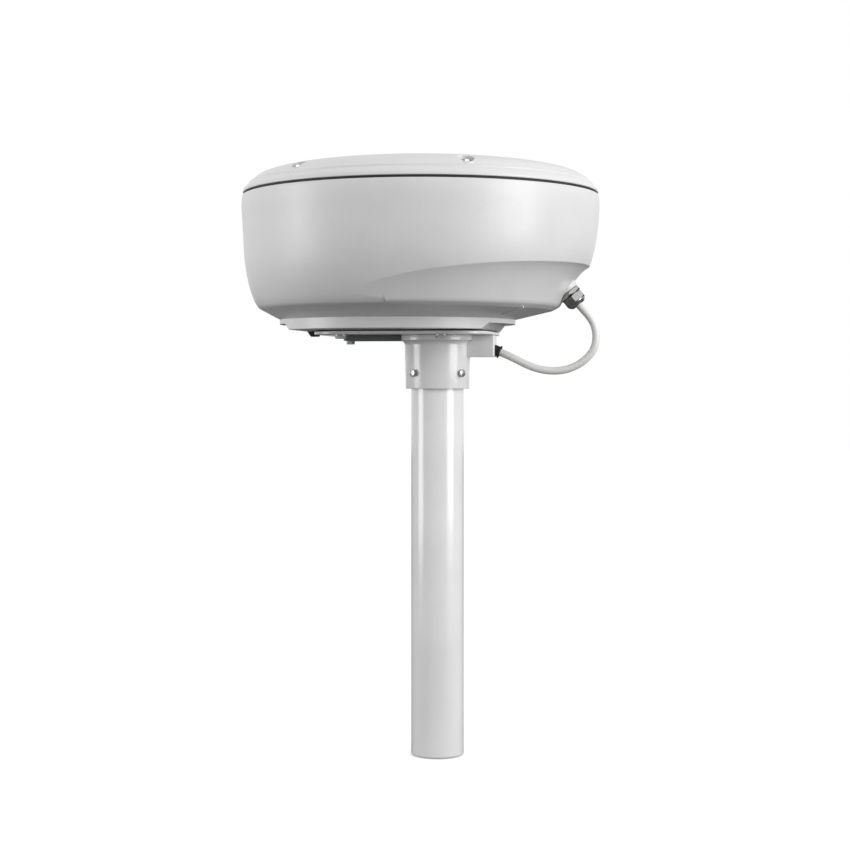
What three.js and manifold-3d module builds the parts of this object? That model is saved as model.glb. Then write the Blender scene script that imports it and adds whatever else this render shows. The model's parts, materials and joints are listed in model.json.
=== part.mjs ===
// A pole-mounted marine radar dome antenna: a closed radome on a round pole, with the turning
// antenna, its gear drive and its electronics inside. Millimetres, +Z up. The origin is the centre
// of the pole's lower end, and +X points to the rear, where the scanner cable leaves the radome.
import * as THREE from "three";
import { mergeVertices } from "three/addons/utils/BufferGeometryUtils.js";
import Module from "manifold-3d";

// ---- Driving dimensions -------------------------------------------------------------------

const seatGap = 0.3; // left between any two pieces that rest on each other
const runningGap = 0.3; // radial clearance of a shaft in its bearings

// Pole and head
const poleRadius = 35;
const poleWall = 3;
const poleLength = 535;
const socketDepth = 49.7; // how far the head slides down over the pole
const headRise = 21.1; // from the pole's top to the head's top
const collarWall = 7; // at the collar's mouth
const collarTaper = 1.75; // the collar is thicker than its mouth by this much at the top
const headFlangeRadius = 50;
const headFlangeThickness = 6.9;
const headFillet = 6;
const headCableBore = 24;
const collarBoltPhase = -35; // polar angle of the first of four

// Cable entry box behind the head
const boxLength = 34;
const boxWidth = 26;
const boxHeight = 28.9;
const boxWall = 3;
const bushRadius = 7;
const bushLength = 9;
const bushReach = 6.5; // the bush's outer face stands out of the box's end by this
const bushDrop = 22.7; // and its centre is below the box's top by this
const bushAngle = -22.5; // it points this many degrees from the horizontal

// Plate, arm and pad
const plateFront = -156;
const plateRear = 77;
const plateHalfWidth = 92;
const plateCorner = 45;
const plateThickness = 4;
const armLength = 74;
const armWidth = 46;
const armThickness = 7.1;
const padThickness = 1.2;
const padInset = 2;

// Radome: its axis stands in front of the pole's, and its foot stands further forward still
const domeRadius = 238;
const domeAxisX = -23;
const footOffset = -31; // from the dome's axis to the foot's
const footHeight = 14.8; // from the foot's bottom to the top of its flange
const flangeInset = 80.5; // the foot's radius is less than the dome's by this
const footCutInset = 112.3; // both ends of the foot are cut away beyond the dome's radius less this
const footCutHeight = 8.4; // up to this height
const bowlHeight = 178.4; // from the foot's bottom to the seam
const bowlCornerHeight = 29.8; // where the sloping belly turns up into the wall
const bowlCornerInset = 22;
const bellyShift = -13; // the belly's upper edge is centred this far from the dome's axis
const shiftedHeight = 153.8; // above the foot's bottom, the wall is centred on the dome's axis
const shellWall = 4.5;
const gasketThickness = 2.6;
const gasketInset = 3.5;
const crownHeight = 47.6; // from the cover's edge to its top
const coverWall = 4;
const coverBoltCount = 6;
const coverBoltInset = 26.5; // the bolt circle's radius is less than the dome's by this
const coverBoltPhase = -5;
const coverPocketRadius = 11;
const coverPocketDepth = 32; // from the cover's top down to a pocket's floor
const footBoltX = 66.5; // half spacings of the four foot bolts about the foot's axis
const footBoltY = 75;
const footBoltShift = 5;
const drainRadius = 10.5;
const drainX = -113.7; // from the foot's axis
const bellyRibAngle = -30; // polar angle about the foot's axis

// Cable gland at the rear
const glandInset = 40; // the gland's seat is inside the dome's radius by this
const glandHeight = 49.8; // and above the foot's bottom by this
const glandTilt = 50; // degrees below the horizontal
const glandAcrossFlats = 27;
const cableRadius = 5;

// Drive
const gearModule = 1.75;
const gearTeeth = 64;
const pinionTeeth = 16;
const pressureAngle = 20;
const backlash = 0.5;
const gearWidth = 6;
const motorAngle = -90; // polar angle of the motor about the antenna's axis
const shaftRadius = 9.7;
const shaftBore = 6;
const bearingOuter = 21;
const bearingWidth = 12;
const bearingGap = 11; // between the two bearings

// Chassis and antenna
const chassisHeight = 25.8; // from the foot's bottom to the chassis plate
const chassisThickness = 3;
const chassisInset = 88;
const chassisShift = -18; // from the dome's axis to the chassis plate's centre
const antennaSweepGap = 38; // between the antenna's ends and the dome's outer radius
const antennaHeight = 62;
const hornDepth = 20;

// The free cable's centreline, from the gland to the entry box: X and Z in the rear plane
const cableRoute = [
  [188.7, 595.7],
  [192.6, 591.1],
  [197.9, 585.2],
  [203.3, 578.4],
  [207.7, 570.6],
  [210.3, 562],
  [211, 553],
  [209.9, 543.8],
  [206.4, 535],
  [200.2, 527],
  [192, 520],
  [181.9, 514.3],
  [170.5, 510.5],
  [158, 508.9],
  [145, 509.6],
  [132, 512.4],
  [119.5, 517.1],
  [107.5, 523],
  [95.5, 528.8],
  [84.5, 533.4],
];

// ---- Heights that follow from them --------------------------------------------------------

const collarBottomZ = poleLength - socketDepth;
const headTopZ = poleLength + headRise;
const plateZ = headTopZ + seatGap;
const padZ = plateZ + plateThickness + seatGap;
const footZ = padZ + padThickness + seatGap;
const seamZ = footZ + bowlHeight;
const gasketZ = seamZ + seatGap;
const coverZ = gasketZ + gasketThickness + seatGap;
const coverTopZ = coverZ + crownHeight;
const chassisZ = footZ + chassisHeight;
const deckZ = chassisZ + chassisThickness + seatGap;
const lowerBearingZ = deckZ + 1;
const upperBearingZ = lowerBearingZ + bearingWidth + bearingGap;
const gearZ = upperBearingZ + bearingWidth + 2;
const shaftFlangeZ = gearZ + gearWidth + 3;
const bracketZ = shaftFlangeZ + 5 + seatGap;
const arrayZ = bracketZ + 5 + antennaHeight / 2;

const footX = domeAxisX + footOffset;
const flangeRadius = domeRadius - flangeInset;
const footCutX = domeRadius - footCutInset;
const collarRadius = poleRadius + seatGap + collarWall;
const coverBoltCircle = domeRadius - coverBoltInset;
const chassisRadius = domeRadius - chassisInset;
const gearRadius = (gearModule * gearTeeth) / 2;
const pinionRadius = (gearModule * pinionTeeth) / 2;
const antennaHalfLength = domeRadius - antennaSweepGap;

// ---- Solids -------------------------------------------------------------------------------

const wasm = await Module();
wasm.setup();
const radians = THREE.MathUtils.degToRad;

// Sides of the round shapes, by their size
const domeSides = 56;
const largeSides = 32;
const mediumSides = 20;
const smallSides = 12;

// A closed geometry as a solid. Its profile may be listed either way round.
function solid(geometry) {
  const bare = geometry.clone();
  bare.deleteAttribute("normal");
  bare.deleteAttribute("uv");
  const merged = mergeVertices(bare, 1e-4);
  const index = merged.index.array;
  const kept = [];
  for (let i = 0; i < index.length; i += 3) {
    const [a, b, c] = [index[i], index[i + 1], index[i + 2]];
    if (a !== b && b !== c && c !== a) kept.push(a, b, c);
  }
  const vertProperties = new Float32Array(merged.attributes.position.array);
  const build = (list) =>
    new wasm.Manifold(new wasm.Mesh({ numProp: 3, vertProperties, triVerts: new Uint32Array(list) }));
  const made = build(kept);
  return made.volume() > 0 ? made : build(kept.reverse());
}

function geometryOf(shape) {
  const mesh = shape.getMesh();
  const positions = new Float32Array((mesh.vertProperties.length / mesh.numProp) * 3);
  for (let i = 0; i < positions.length / 3; i++) {
    for (let k = 0; k < 3; k++) positions[3 * i + k] = mesh.vertProperties[mesh.numProp * i + k];
  }
  const geometry = new THREE.BufferGeometry();
  geometry.setAttribute("position", new THREE.BufferAttribute(positions, 3));
  geometry.setIndex(new THREE.BufferAttribute(new Uint32Array(mesh.triVerts), 1));
  const flat = geometry.toNonIndexed();
  flat.computeVertexNormals();
  return flat;
}

const union = (...shapes) => shapes.flat().reduce((all, shape) => all.add(shape));
const cut = (shape, ...tools) => tools.flat().reduce((left, tool) => left.subtract(tool), shape);

// A profile of [radius, z] points turned about Z.
function turned(profile, segments = largeSides) {
  const points = profile.map(([r, z]) => new THREE.Vector2(Math.max(r, 0), z));
  return solid(new THREE.LatheGeometry(points, segments).rotateX(Math.PI / 2));
}

function rod(radius, z0, z1, segments = mediumSides) {
  const shape = new THREE.CylinderGeometry(radius, radius, z1 - z0, segments).rotateX(Math.PI / 2);
  return solid(shape.translate(0, 0, (z0 + z1) / 2));
}

function ring(inner, outer, z0, z1, segments = largeSides) {
  const profile = [[inner, z0], [outer, z0], [outer, z1], [inner, z1], [inner, z0]];
  return turned(profile, segments);
}

const hexRod = (acrossFlats, z0, z1) => rod(acrossFlats / Math.sqrt(3), z0, z1, 6);

function block(x0, x1, y0, y1, z0, z1) {
  const shape = new THREE.BoxGeometry(x1 - x0, y1 - y0, z1 - z0);
  return solid(shape.translate((x0 + x1) / 2, (y0 + y1) / 2, (z0 + z1) / 2));
}

// A flat outline in XY raised from z0 to z1.
function raised(outline, z0, z1, curveSegments = 12) {
  const options = { depth: z1 - z0, bevelEnabled: false, curveSegments };
  return solid(new THREE.ExtrudeGeometry(outline, options).translate(0, 0, z0));
}

function roundedRectangle(x0, x1, y0, y1, corner) {
  const outline = new THREE.Shape();
  outline.absarc(x1 - corner, y1 - corner, corner, 0, Math.PI / 2);
  outline.absarc(x0 + corner, y1 - corner, corner, Math.PI / 2, Math.PI);
  outline.absarc(x0 + corner, y0 + corner, corner, Math.PI, 1.5 * Math.PI);
  outline.absarc(x1 - corner, y0 + corner, corner, 1.5 * Math.PI, 2 * Math.PI);
  outline.closePath();
  return outline;
}

// Level circles, each [z, centre X, radius], joined from the lowest to the highest.
function stackedCircles(circles, segments = domeSides) {
  const positions = [];
  const index = [];
  for (const [z, x, r] of circles) {
    for (let k = 0; k < segments; k++) {
      const angle = (2 * Math.PI * k) / segments;
      positions.push(x + r * Math.cos(angle), r * Math.sin(angle), z);
    }
  }
  const bottom = positions.length / 3;
  const top = bottom + 1;
  const last = (circles.length - 1) * segments;
  positions.push(circles[0][1], 0, circles[0][0], circles.at(-1)[1], 0, circles.at(-1)[0]);
  for (let k = 0; k < segments; k++) {
    const next = (k + 1) % segments;
    index.push(bottom, next, k, top, last + k, last + next);
    for (let base = 0; base < last; base += segments) {
      const above = base + segments;
      index.push(base + k, base + next, above + next, base + k, above + next, above + k);
    }
  }
  const geometry = new THREE.BufferGeometry();
  geometry.setAttribute("position", new THREE.BufferAttribute(new Float32Array(positions), 3));
  geometry.setIndex(index);
  return solid(geometry);
}

const polar = (radius, degrees) => [
  radius * Math.cos(radians(degrees)),
  radius * Math.sin(radians(degrees)),
];

const at = (shape, x, y, z = 0) => shape.translate([x, y, z]);

// A tube with a round section along a smooth curve through points.
function tube(points, radius, steps, sides) {
  const section = new THREE.Shape();
  for (let k = 0; k < sides; k++) {
    const [x, y] = polar(radius, (360 * k) / sides);
    if (k === 0) section.moveTo(x, y);
    else section.lineTo(x, y);
  }
  section.closePath();
  const path = new THREE.CatmullRomCurve3(points, false, "centripetal");
  const options = { steps, extrudePath: path, bevelEnabled: false, curveSegments: 1 };
  return solid(new THREE.ExtrudeGeometry(section, options));
}

// ---- Materials and placing ----------------------------------------------------------------

const finishes = {
  radomeWhite: [0xe4e5e6, 0.32, 0],
  whitePaint: [0xeef0f1, 0.22, 0],
  polePaint: [0xe9ebed, 0.18, 0],
  greyPaint: [0x5f6664, 0.5, 0.1],
  blackRubber: [0x16171a, 0.8, 0],
  stainless: [0x8f9396, 0.32, 1],
  nickel: [0x9a9d9f, 0.28, 1],
  cableWhite: [0xe8e9e8, 0.4, 0],
  aluminium: [0xb9bdc1, 0.4, 1],
  castAluminium: [0xa3a7aa, 0.55, 1],
  bearingSteel: [0xc4c7ca, 0.2, 1],
  motorBlack: [0x26282b, 0.45, 0.3],
  gearPlastic: [0xe6e1cf, 0.5, 0],
  brass: [0xb9964f, 0.35, 1],
  boardGreen: [0x1d5a36, 0.5, 0],
  terminalGreen: [0x3c8f57, 0.5, 0],
  magnetronCopper: [0xa4613c, 0.4, 1],
  arrayCover: [0xd9d6c8, 0.6, 0],
};

function place(parent, name, shape, finish, position = [0, 0, 0], turn = [0, 0, 0]) {
  const [color, roughness, metalness] = finishes[finish];
  const material = new THREE.MeshStandardMaterial({ color, roughness, metalness });
  const mesh = new THREE.Mesh(geometryOf(shape), material);
  mesh.name = name;
  mesh.position.set(...position);
  mesh.rotation.set(...turn.map(radians));
  parent.add(mesh);
}

// ---- Pole, head, plate --------------------------------------------------------------------

// A hexagon-headed bolt along +Z: its head is below z = 0 and its shank above.
function hexBolt(acrossFlats, headHeight, shankRadius, shankLength, washerRadius = 0) {
  const washer = washerRadius > 0 ? 1.4 : 0;
  const head = hexRod(acrossFlats, -washer - headHeight, -washer / 2);
  const pieces = [head, rod(shankRadius, -washer - 1, shankLength, smallSides)];
  if (washer > 0) pieces.push(rod(washerRadius, -washer, 0));
  return union(pieces);
}

const armBolt = { acrossFlats: 10, head: 4.2, shank: 3, length: armThickness + 2.5 };
const armBoltX = -headFlangeRadius - armLength + 5.5;
const footBolt = { acrossFlats: 13, head: 4.1, shank: 4, length: 21, washer: 8.5 };
const plateScrew = { shank: 3, length: 14, head: 5.6, depth: 3, circle: 30, phase: 45 };
const collarBolt = { acrossFlats: 9, head: 3.6, shank: 3, z: collarBottomZ + 20.5 };
const boltAngles = (phase, count) =>
  Array.from({ length: count }, (_, k) => phase + (360 / count) * k);
const collarBoltAngles = boltAngles(collarBoltPhase, 4);
const plateScrewAngles = boltAngles(plateScrew.phase, 4);
const corners = [[-1, -1], [1, -1], [1, 1], [-1, 1]];
const footBoltPlaces = corners.map(([x, y]) => [footBoltShift + x * footBoltX, y * footBoltY]);

// Steps a round bolt circle's holes or bosses out about Z.
const around = (angles, radius, shape) => angles.map((angle) => at(shape, ...polar(radius, angle)));

function collarWallAt(z) {
  return collarRadius + (collarTaper * (z - collarBottomZ)) / (headTopZ - collarBottomZ);
}

const collarTopRadius = collarWallAt(headTopZ - headFlangeThickness - headFillet);

// The head's outside, grown by gap, as [radius, z] from the mouth to the top.
function headOutline(gap) {
  const flangeZ = headTopZ - headFlangeThickness;
  const reach = headFlangeRadius - collarTopRadius;
  const outline = [[collarRadius + gap, collarBottomZ - gap]];
  for (let k = 0; k <= 5; k++) {
    const angle = (Math.PI / 2) * (k / 5);
    outline.push([
      collarTopRadius + reach * (1 - Math.cos(angle)) + gap,
      flangeZ - headFillet + headFillet * Math.sin(angle) - gap,
    ]);
  }
  outline.push([headFlangeRadius + gap, headTopZ + gap]);
  return outline;
}

// A hole of this radius out through the collar at each of its bolts.
function collarBoltHoles(radius) {
  return collarBoltAngles.map((angle) => {
    const hole = rod(radius, 0, 2 * collarRadius, smallSides).rotate([0, 90, angle]);
    return at(hole, 0, 0, collarBolt.z);
  });
}

function poleShape() {
  const tubeShape = ring(poleRadius - poleWall, poleRadius, 0, poleLength);
  return cut(tubeShape, collarBoltHoles(collarBolt.shank + seatGap));
}

function headShape() {
  const outside = turned([[0, collarBottomZ], ...headOutline(0), [0, headTopZ]]);
  const socket = rod(poleRadius + seatGap, collarBottomZ - 1, poleLength + seatGap, largeSides);
  const cableBore = rod(headCableBore, collarBottomZ, headTopZ - 4, largeSides);
  const screwRadius = plateScrew.shank + seatGap;
  const screwHole = rod(screwRadius, headTopZ - plateScrew.length, headTopZ + 1, smallSides);
  const cableWay = block(0, headFlangeRadius, -6.5, 6.5, poleLength + 1, poleLength + 13);
  return cut(
    outside,
    socket,
    cableBore,
    cableWay,
    collarBoltHoles(collarBolt.shank + seatGap),
    around(plateScrewAngles, plateScrew.circle, screwHole),
  );
}

const boxRear = headFlangeRadius - 6 + boxLength;

// Its hollow opens towards the head, and its end wall holds the bush.
function entryBoxShape() {
  const low = headTopZ - boxHeight;
  const half = boxWidth / 2;
  const body = raised(roundedRectangle(20, boxRear, -half, half, 2.5), low, headTopZ, 4);
  const innerHalf = half - boxWall;
  const innerTop = headTopZ - boxWall;
  const inner = block(19, boxRear - boxWall, -innerHalf, innerHalf, low + boxWall, innerTop);
  const outline = headOutline(seatGap);
  const headSpace = turned([[0, collarBottomZ - 1], ...outline, [0, headTopZ + seatGap]]);
  return cut(body, inner, headSpace, bushPlaced(rod(bushRadius + seatGap, -20, 20)));
}

// Sets a shape made along +Z on the line that the cable enters the box by, +Z pointing in.
function bushPlaced(shape) {
  return at(shape.rotate([0, -90 - bushAngle, 0]), boxRear + bushReach, 0, headTopZ - bushDrop);
}

function bushShape() {
  const lip = rod(bushRadius + 1.6, seatGap, seatGap + 1.6);
  const neck = rod(bushRadius, seatGap, seatGap + bushLength);
  return bushPlaced(union(lip, neck));
}

function armShape() {
  const front = -headFlangeRadius - armLength;
  const half = armWidth / 2;
  const outline = roundedRectangle(front, -20, -half, half, 5);
  const body = raised(outline, headTopZ - armThickness, headTopZ, 6);
  const headSpace = turned([[0, collarBottomZ - 1], ...headOutline(seatGap), [0, headTopZ + 1]]);
  const hole = rod(armBolt.shank + seatGap, headTopZ - armThickness - 1, headTopZ + 1, smallSides);
  return cut(body, headSpace, at(hole, armBoltX, 0));
}

function plateShape() {
  const outline = roundedRectangle(plateFront, plateRear, -plateHalfWidth, plateHalfWidth, plateCorner);
  const body = raised(outline, plateZ, plateZ + plateThickness, 8);
  const top = plateZ + plateThickness;
  const footHole = rod(footBolt.shank + seatGap, plateZ - 1, top + 1, smallSides);
  const armHole = rod(armBolt.shank + seatGap, plateZ - 1, plateZ + plateThickness - 1, smallSides);
  const sink = countersink(seatGap);
  return cut(
    body,
    footBoltPlaces.map(([x, y]) => at(footHole, footX + x, y)),
    at(armHole, armBoltX, 0),
    around(plateScrewAngles, plateScrew.circle, at(sink, 0, 0, top)),
  );
}

// A countersunk screw's outside, grown by gap, with its flat head at z = 0.
function countersink(gap) {
  const { shank, length, head, depth } = plateScrew;
  const rise = gap > 0 ? 1 : -seatGap;
  const profile = [
    [0, -length - gap],
    [shank + gap, -length - gap],
    [shank + gap, -depth - gap],
    [head + gap, -gap],
    [head + gap, rise],
    [0, rise],
  ];
  return turned(profile, smallSides);
}

function padShape() {
  const outline = roundedRectangle(
    plateFront + padInset,
    plateRear - padInset,
    -plateHalfWidth + padInset,
    plateHalfWidth - padInset,
    plateCorner - padInset,
  );
  const hole = rod(footBolt.shank + 0.6, padZ - 1, padZ + padThickness + 1, smallSides);
  const holes = footBoltPlaces.map(([x, y]) => at(hole, footX + x, y));
  return cut(raised(outline, padZ, padZ + padThickness, 8), holes);
}

function addMast(parent) {
  place(parent, "pole", poleShape(), "polePaint");
  place(parent, "pole_head", headShape(), "whitePaint");
  place(parent, "cable_entry_box", entryBoxShape(), "whitePaint");
  place(parent, "cable_bush", bushShape(), "blackRubber");
  place(parent, "support_arm", armShape(), "greyPaint");
  const arm = hexBolt(armBolt.acrossFlats, armBolt.head, armBolt.shank, armBolt.length);
  place(parent, "arm_bolt", arm, "stainless", [armBoltX, 0, headTopZ - armThickness - seatGap]);
  const collarScrew = hexBolt(collarBolt.acrossFlats, collarBolt.head, collarBolt.shank, 13);
  const headReach = collarWallAt(collarBolt.z) + seatGap;
  collarBoltAngles.forEach((angle, k) => {
    const spot = [...polar(headReach, angle), collarBolt.z];
    place(parent, `collar_bolt_${k + 1}`, collarScrew.rotate([0, -90, angle]), "stainless", spot);
  });
  place(parent, "mounting_plate", plateShape(), "whitePaint");
  place(parent, "foot_pad", padShape(), "blackRubber");
  const screw = countersink(0);
  plateScrewAngles.forEach((angle, k) => {
    const spot = [...polar(plateScrew.circle, angle), plateZ + plateThickness];
    place(parent, `plate_screw_${k + 1}`, screw, "stainless", spot);
  });
  const { acrossFlats, head, shank, length, washer } = footBolt;
  const foot = hexBolt(acrossFlats, head, shank, length, washer);
  footBoltPlaces.forEach(([x, y], k) => {
    place(parent, `foot_bolt_${k + 1}`, foot, "stainless", [footX + x, y, plateZ - seatGap]);
  });
}

// ---- Radome, modelled about its own axis ---------------------------------------------------

// The wall's outline from the belly's corner up to the seam, as [radius, z].
function wallOutline(steps) {
  const corner = footZ + bowlCornerHeight;
  const curve = new THREE.SplineCurve([
    new THREE.Vector2(domeRadius - bowlCornerInset, corner),
    new THREE.Vector2(domeRadius - 16, corner + 10.5),
    new THREE.Vector2(domeRadius - 9.2, corner + 32),
    new THREE.Vector2(domeRadius - 4, corner + 63),
    new THREE.Vector2(domeRadius - 1.3, corner + 111),
    new THREE.Vector2(domeRadius, seamZ - 14.7),
    new THREE.Vector2(domeRadius - 0.8, seamZ),
  ]);
  return curve.getPoints(steps).map((p) => [p.x, p.y]);
}

const bellyRadius = domeRadius - bowlCornerInset + bellyShift;
const bellyRise = bowlCornerHeight - footHeight;

// The wall leans forwards as it goes down, while its front keeps to the outline.
function wallCircle([r, z]) {
  const fall = (footZ + shiftedHeight - z) / (shiftedHeight - bowlCornerHeight);
  const shift = bellyShift * Math.max(fall, 0) ** 2;
  return [z, shift, r + shift];
}

// The bowl's outside as level circles: the foot about its own axis, then the belly, then the wall.
function bowlCircles() {
  const [, ...wall] = wallOutline(8).map(wallCircle);
  return [
    [footZ, footOffset, flangeRadius],
    [footZ + footHeight, footOffset, flangeRadius],
    [footZ + bowlCornerHeight, bellyShift, bellyRadius],
    ...wall,
  ];
}

function bowlHollowCircles() {
  const floor = footZ + 5;
  const belly = [
    [floor, footOffset, flangeRadius - shellWall - 8],
    [footZ + footHeight + 3.6, footOffset, flangeRadius - shellWall],
    [footZ + bowlCornerHeight + shellWall, bellyShift, bellyRadius - shellWall],
  ];
  const inner = ([z, x, r]) => [z, x, r - shellWall];
  const [, ...wall] = wallOutline(5).map(wallCircle).map(inner);
  wall[wall.length - 1][0] = seamZ + 1;
  return [...belly, ...wall];
}

// The hollow scooped out of the rear: everything outside a curved profile about an axis of its
// own. inward moves the profile towards that axis.
function scoop(inward) {
  const reach = domeRadius - scoopOffset;
  const curve = new THREE.QuadraticBezierCurve(
    new THREE.Vector2(reach - 54, footZ + 31.8),
    new THREE.Vector2(reach - 28, footZ + 80.8),
    new THREE.Vector2(reach - 10, footZ + 85.8),
  );
  const edge = curve.getPoints(scoopSteps).map((p, k) => {
    const along = curve.getTangent(k / scoopSteps);
    return [p.x - inward * along.y, p.y + inward * along.x];
  });
  const low = footZ - 10;
  const foot = [reach - 68 - inward, footZ + 24.3 + inward];
  const lip = edge.at(-1);
  const outside = reach + 60;
  const rise = (outside - lip[0]) * 0.34;
  const upper = [foot, ...edge, [outside, lip[1] + rise]];
  const profile = [[foot[0], low], ...upper, [outside, low], [foot[0], low]];
  return at(turned(profile, domeSides), scoopOffset, 0);
}

// Both ends of the foot are cut away from below. The cut is grown inwards by gap.
function footCuts(gap) {
  const height = footCutHeight + gap;
  const start = footCutX - gap;
  const points = [[start, -2], [start, 0], [start + height, height], [domeRadius, height], [domeRadius, -2]];
  const outline = new THREE.Shape(points.map(([x, z]) => new THREE.Vector2(x, z)));
  const bar = raised(outline, -domeRadius, domeRadius).rotate([90, 0, 0]);
  return [0, 180].map((angle) => at(bar.rotate([0, 0, angle]), footOffset, 0, footZ));
}

// Sets a shape made along +Z on the gland's line, +Z pointing out of the radome.
function glandPlaced(shape) {
  const tilted = shape.rotate([0, 90 + glandTilt, 0]);
  return at(tilted, domeRadius - glandInset, 0, footZ + glandHeight);
}

const glandThread = 8;
const scoopSteps = 5;
const scoopOffset = -20; // from the dome's axis to the scoop's
const glandBackDepth = 12;

function coverBoltBosses() {
  const reach = shellWall + 0.5;
  return boltAngles(coverBoltPhase, coverBoltCount).map((angle) => {
    const post = rod(8, seamZ - 28, seamZ, smallSides);
    const cone = turned([[0, seamZ - 38], [8, seamZ - 28], [0, seamZ - 28]], smallSides);
    const web = block(0, domeRadius - reach - coverBoltCircle, -4, 4, seamZ - 28, seamZ);
    return at(union(post, cone, web), coverBoltCircle, 0).rotate([0, 0, angle]);
  });
}

// A thin rib under the sloping belly, from the foot's flange to the scoop's lower edge.
function bellyRib() {
  const rearRun = bellyShift + bellyRadius - footOffset - flangeRadius;
  const slope = THREE.MathUtils.radToDeg(Math.atan(bellyRise / rearRun));
  const rib = block(18, rearRun + 10, -1.2, 1.2, -1.3, 2.5).rotate([0, -slope, 0]);
  const placed = at(rib, flangeRadius, 0, footZ + footHeight).rotate([0, 0, bellyRibAngle]);
  return cut(at(placed, footOffset, 0), scoop(0));
}

function bowlShape() {
  const outside = cut(stackedCircles(bowlCircles()), scoop(0), footCuts(0));
  const hollow = cut(stackedCircles(bowlHollowCircles()), scoop(shellWall), footCuts(shellWall));
  const footBoss = rod(9, footZ + 1, footZ + 19, smallSides);
  const footBosses = footBoltPlaces.map(([x, y]) => at(footBoss, footOffset + x, y));
  const backing = glandPlaced(rod(20, -glandBackDepth, 0)).intersect(outside);
  const boss = glandPlaced(rod(15.5, -glandBackDepth, 0));
  const boltHole = rod(footBolt.shank + seatGap, footZ - 1, footZ + 15.5, smallSides);
  const drainHole = rod(4 + seatGap, footZ - 1, footZ + 8, smallSides);
  const coverHole = rod(3 + seatGap, seamZ - 22, seamZ + 1, smallSides);
  return cut(
    union(cut(outside, hollow), footBosses, backing, boss, bellyRib(), coverBoltBosses()),
    glandPlaced(rod(17.6, 0, 40)),
    glandPlaced(rod(glandThread + seatGap, -40, 1)),
    footBoltPlaces.map(([x, y]) => at(boltHole, footOffset + x, y)),
    at(drainHole, footOffset + drainX, 0),
    around(boltAngles(coverBoltPhase, coverBoltCount), coverBoltCircle, coverHole),
  );
}

// The cover's outside from its edge, over the shoulder's crease, to its top.
function coverOutline() {
  const crown = new THREE.SplineCurve([
    new THREE.Vector2(domeRadius - 10.3, coverZ + 13.6),
    new THREE.Vector2(domeRadius - 26, coverZ + 24.4),
    new THREE.Vector2(domeRadius - 58, coverZ + 0.675 * crownHeight),
    new THREE.Vector2((domeRadius * 110) / 238, coverTopZ - 7),
    new THREE.Vector2((domeRadius * 40) / 238, coverTopZ - 1.6),
    new THREE.Vector2(0, coverTopZ),
  ]);
  return [
    [domeRadius - 1.5, coverZ],
    [domeRadius - 2.6, coverZ + 4.5],
    [domeRadius - 6, coverZ + 8.5],
    [domeRadius - 9.3, coverZ + 11],
    ...crown.getPoints(7).map((p) => [p.x, p.y]),
  ];
}

function coverShape() {
  const outline = coverOutline();
  const outside = turned([[0, coverZ], ...outline], domeSides);
  const innerOutline = outline.map(([r, z]) => [r * (1 - coverWall / domeRadius) - 1, z - coverWall]);
  const crownInside = innerOutline.filter(([, z]) => z > coverZ + 1);
  const rim = [[0, coverZ - 1], [crownInside[0][0], coverZ - 1]];
  crownInside[crownInside.length - 1][0] = 0;
  const hollow = turned([...rim, ...crownInside], domeSides);
  const floorZ = coverTopZ - coverPocketDepth;
  const angles = boltAngles(coverBoltPhase, coverBoltCount);
  const post = rod(coverPocketRadius + 3, coverZ, coverTopZ);
  const posts = around(angles, coverBoltCircle, post).map((shape) => shape.intersect(outside));
  const pocket = rod(coverPocketRadius, floorZ, coverTopZ + 5);
  const hole = rod(3 + seatGap, coverZ - 1, floorZ + 1, smallSides);
  return cut(
    union(cut(outside, hollow), posts),
    around(angles, coverBoltCircle, pocket),
    around(angles, coverBoltCircle, hole),
  );
}

function coverBoltShape() {
  const washer = rod(7.5, 0, 1.2);
  const shankEnd = seamZ - coverTopZ + coverPocketDepth - 18;
  return union(washer, hexRod(10, 1, 5.6), rod(3, shankEnd, 2, smallSides));
}

function gasketShape() {
  const outer = domeRadius - gasketInset;
  return ring(domeRadius - 12, outer, gasketZ, gasketZ + gasketThickness, domeSides);
}

function drainShape() {
  const profile = [[0, -7.2], [drainRadius - 4.7, -7.2], [drainRadius, -seatGap], [0, -seatGap]];
  return union(turned(profile, mediumSides), rod(4, -1, 4.5, smallSides));
}

const glandCollar = 6;
const glandNutEnd = 21;

function glandBodyShape() {
  const collar = hexRod(glandAcrossFlats + 2, seatGap, glandCollar);
  const thread = rod(glandThread, -glandBackDepth - 8, seatGap + 0.5);
  return cut(union(collar, thread), rod(cableRadius + seatGap, -60, 30));
}

function glandNutShape() {
  const start = glandCollar + seatGap;
  const hex = hexRod(glandAcrossFlats, start, glandNutEnd - 4);
  const crown = turned(
    [
      [0, start + 3],
      [glandAcrossFlats / 2 - 0.5, start + 3],
      [glandAcrossFlats / 2 - 0.5, glandNutEnd - 3],
      [glandAcrossFlats / 2 - 3.5, glandNutEnd],
      [0, glandNutEnd],
    ],
    mediumSides,
  );
  return cut(union(hex, crown), rod(cableRadius + seatGap, 0, glandNutEnd - 1));
}

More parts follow.
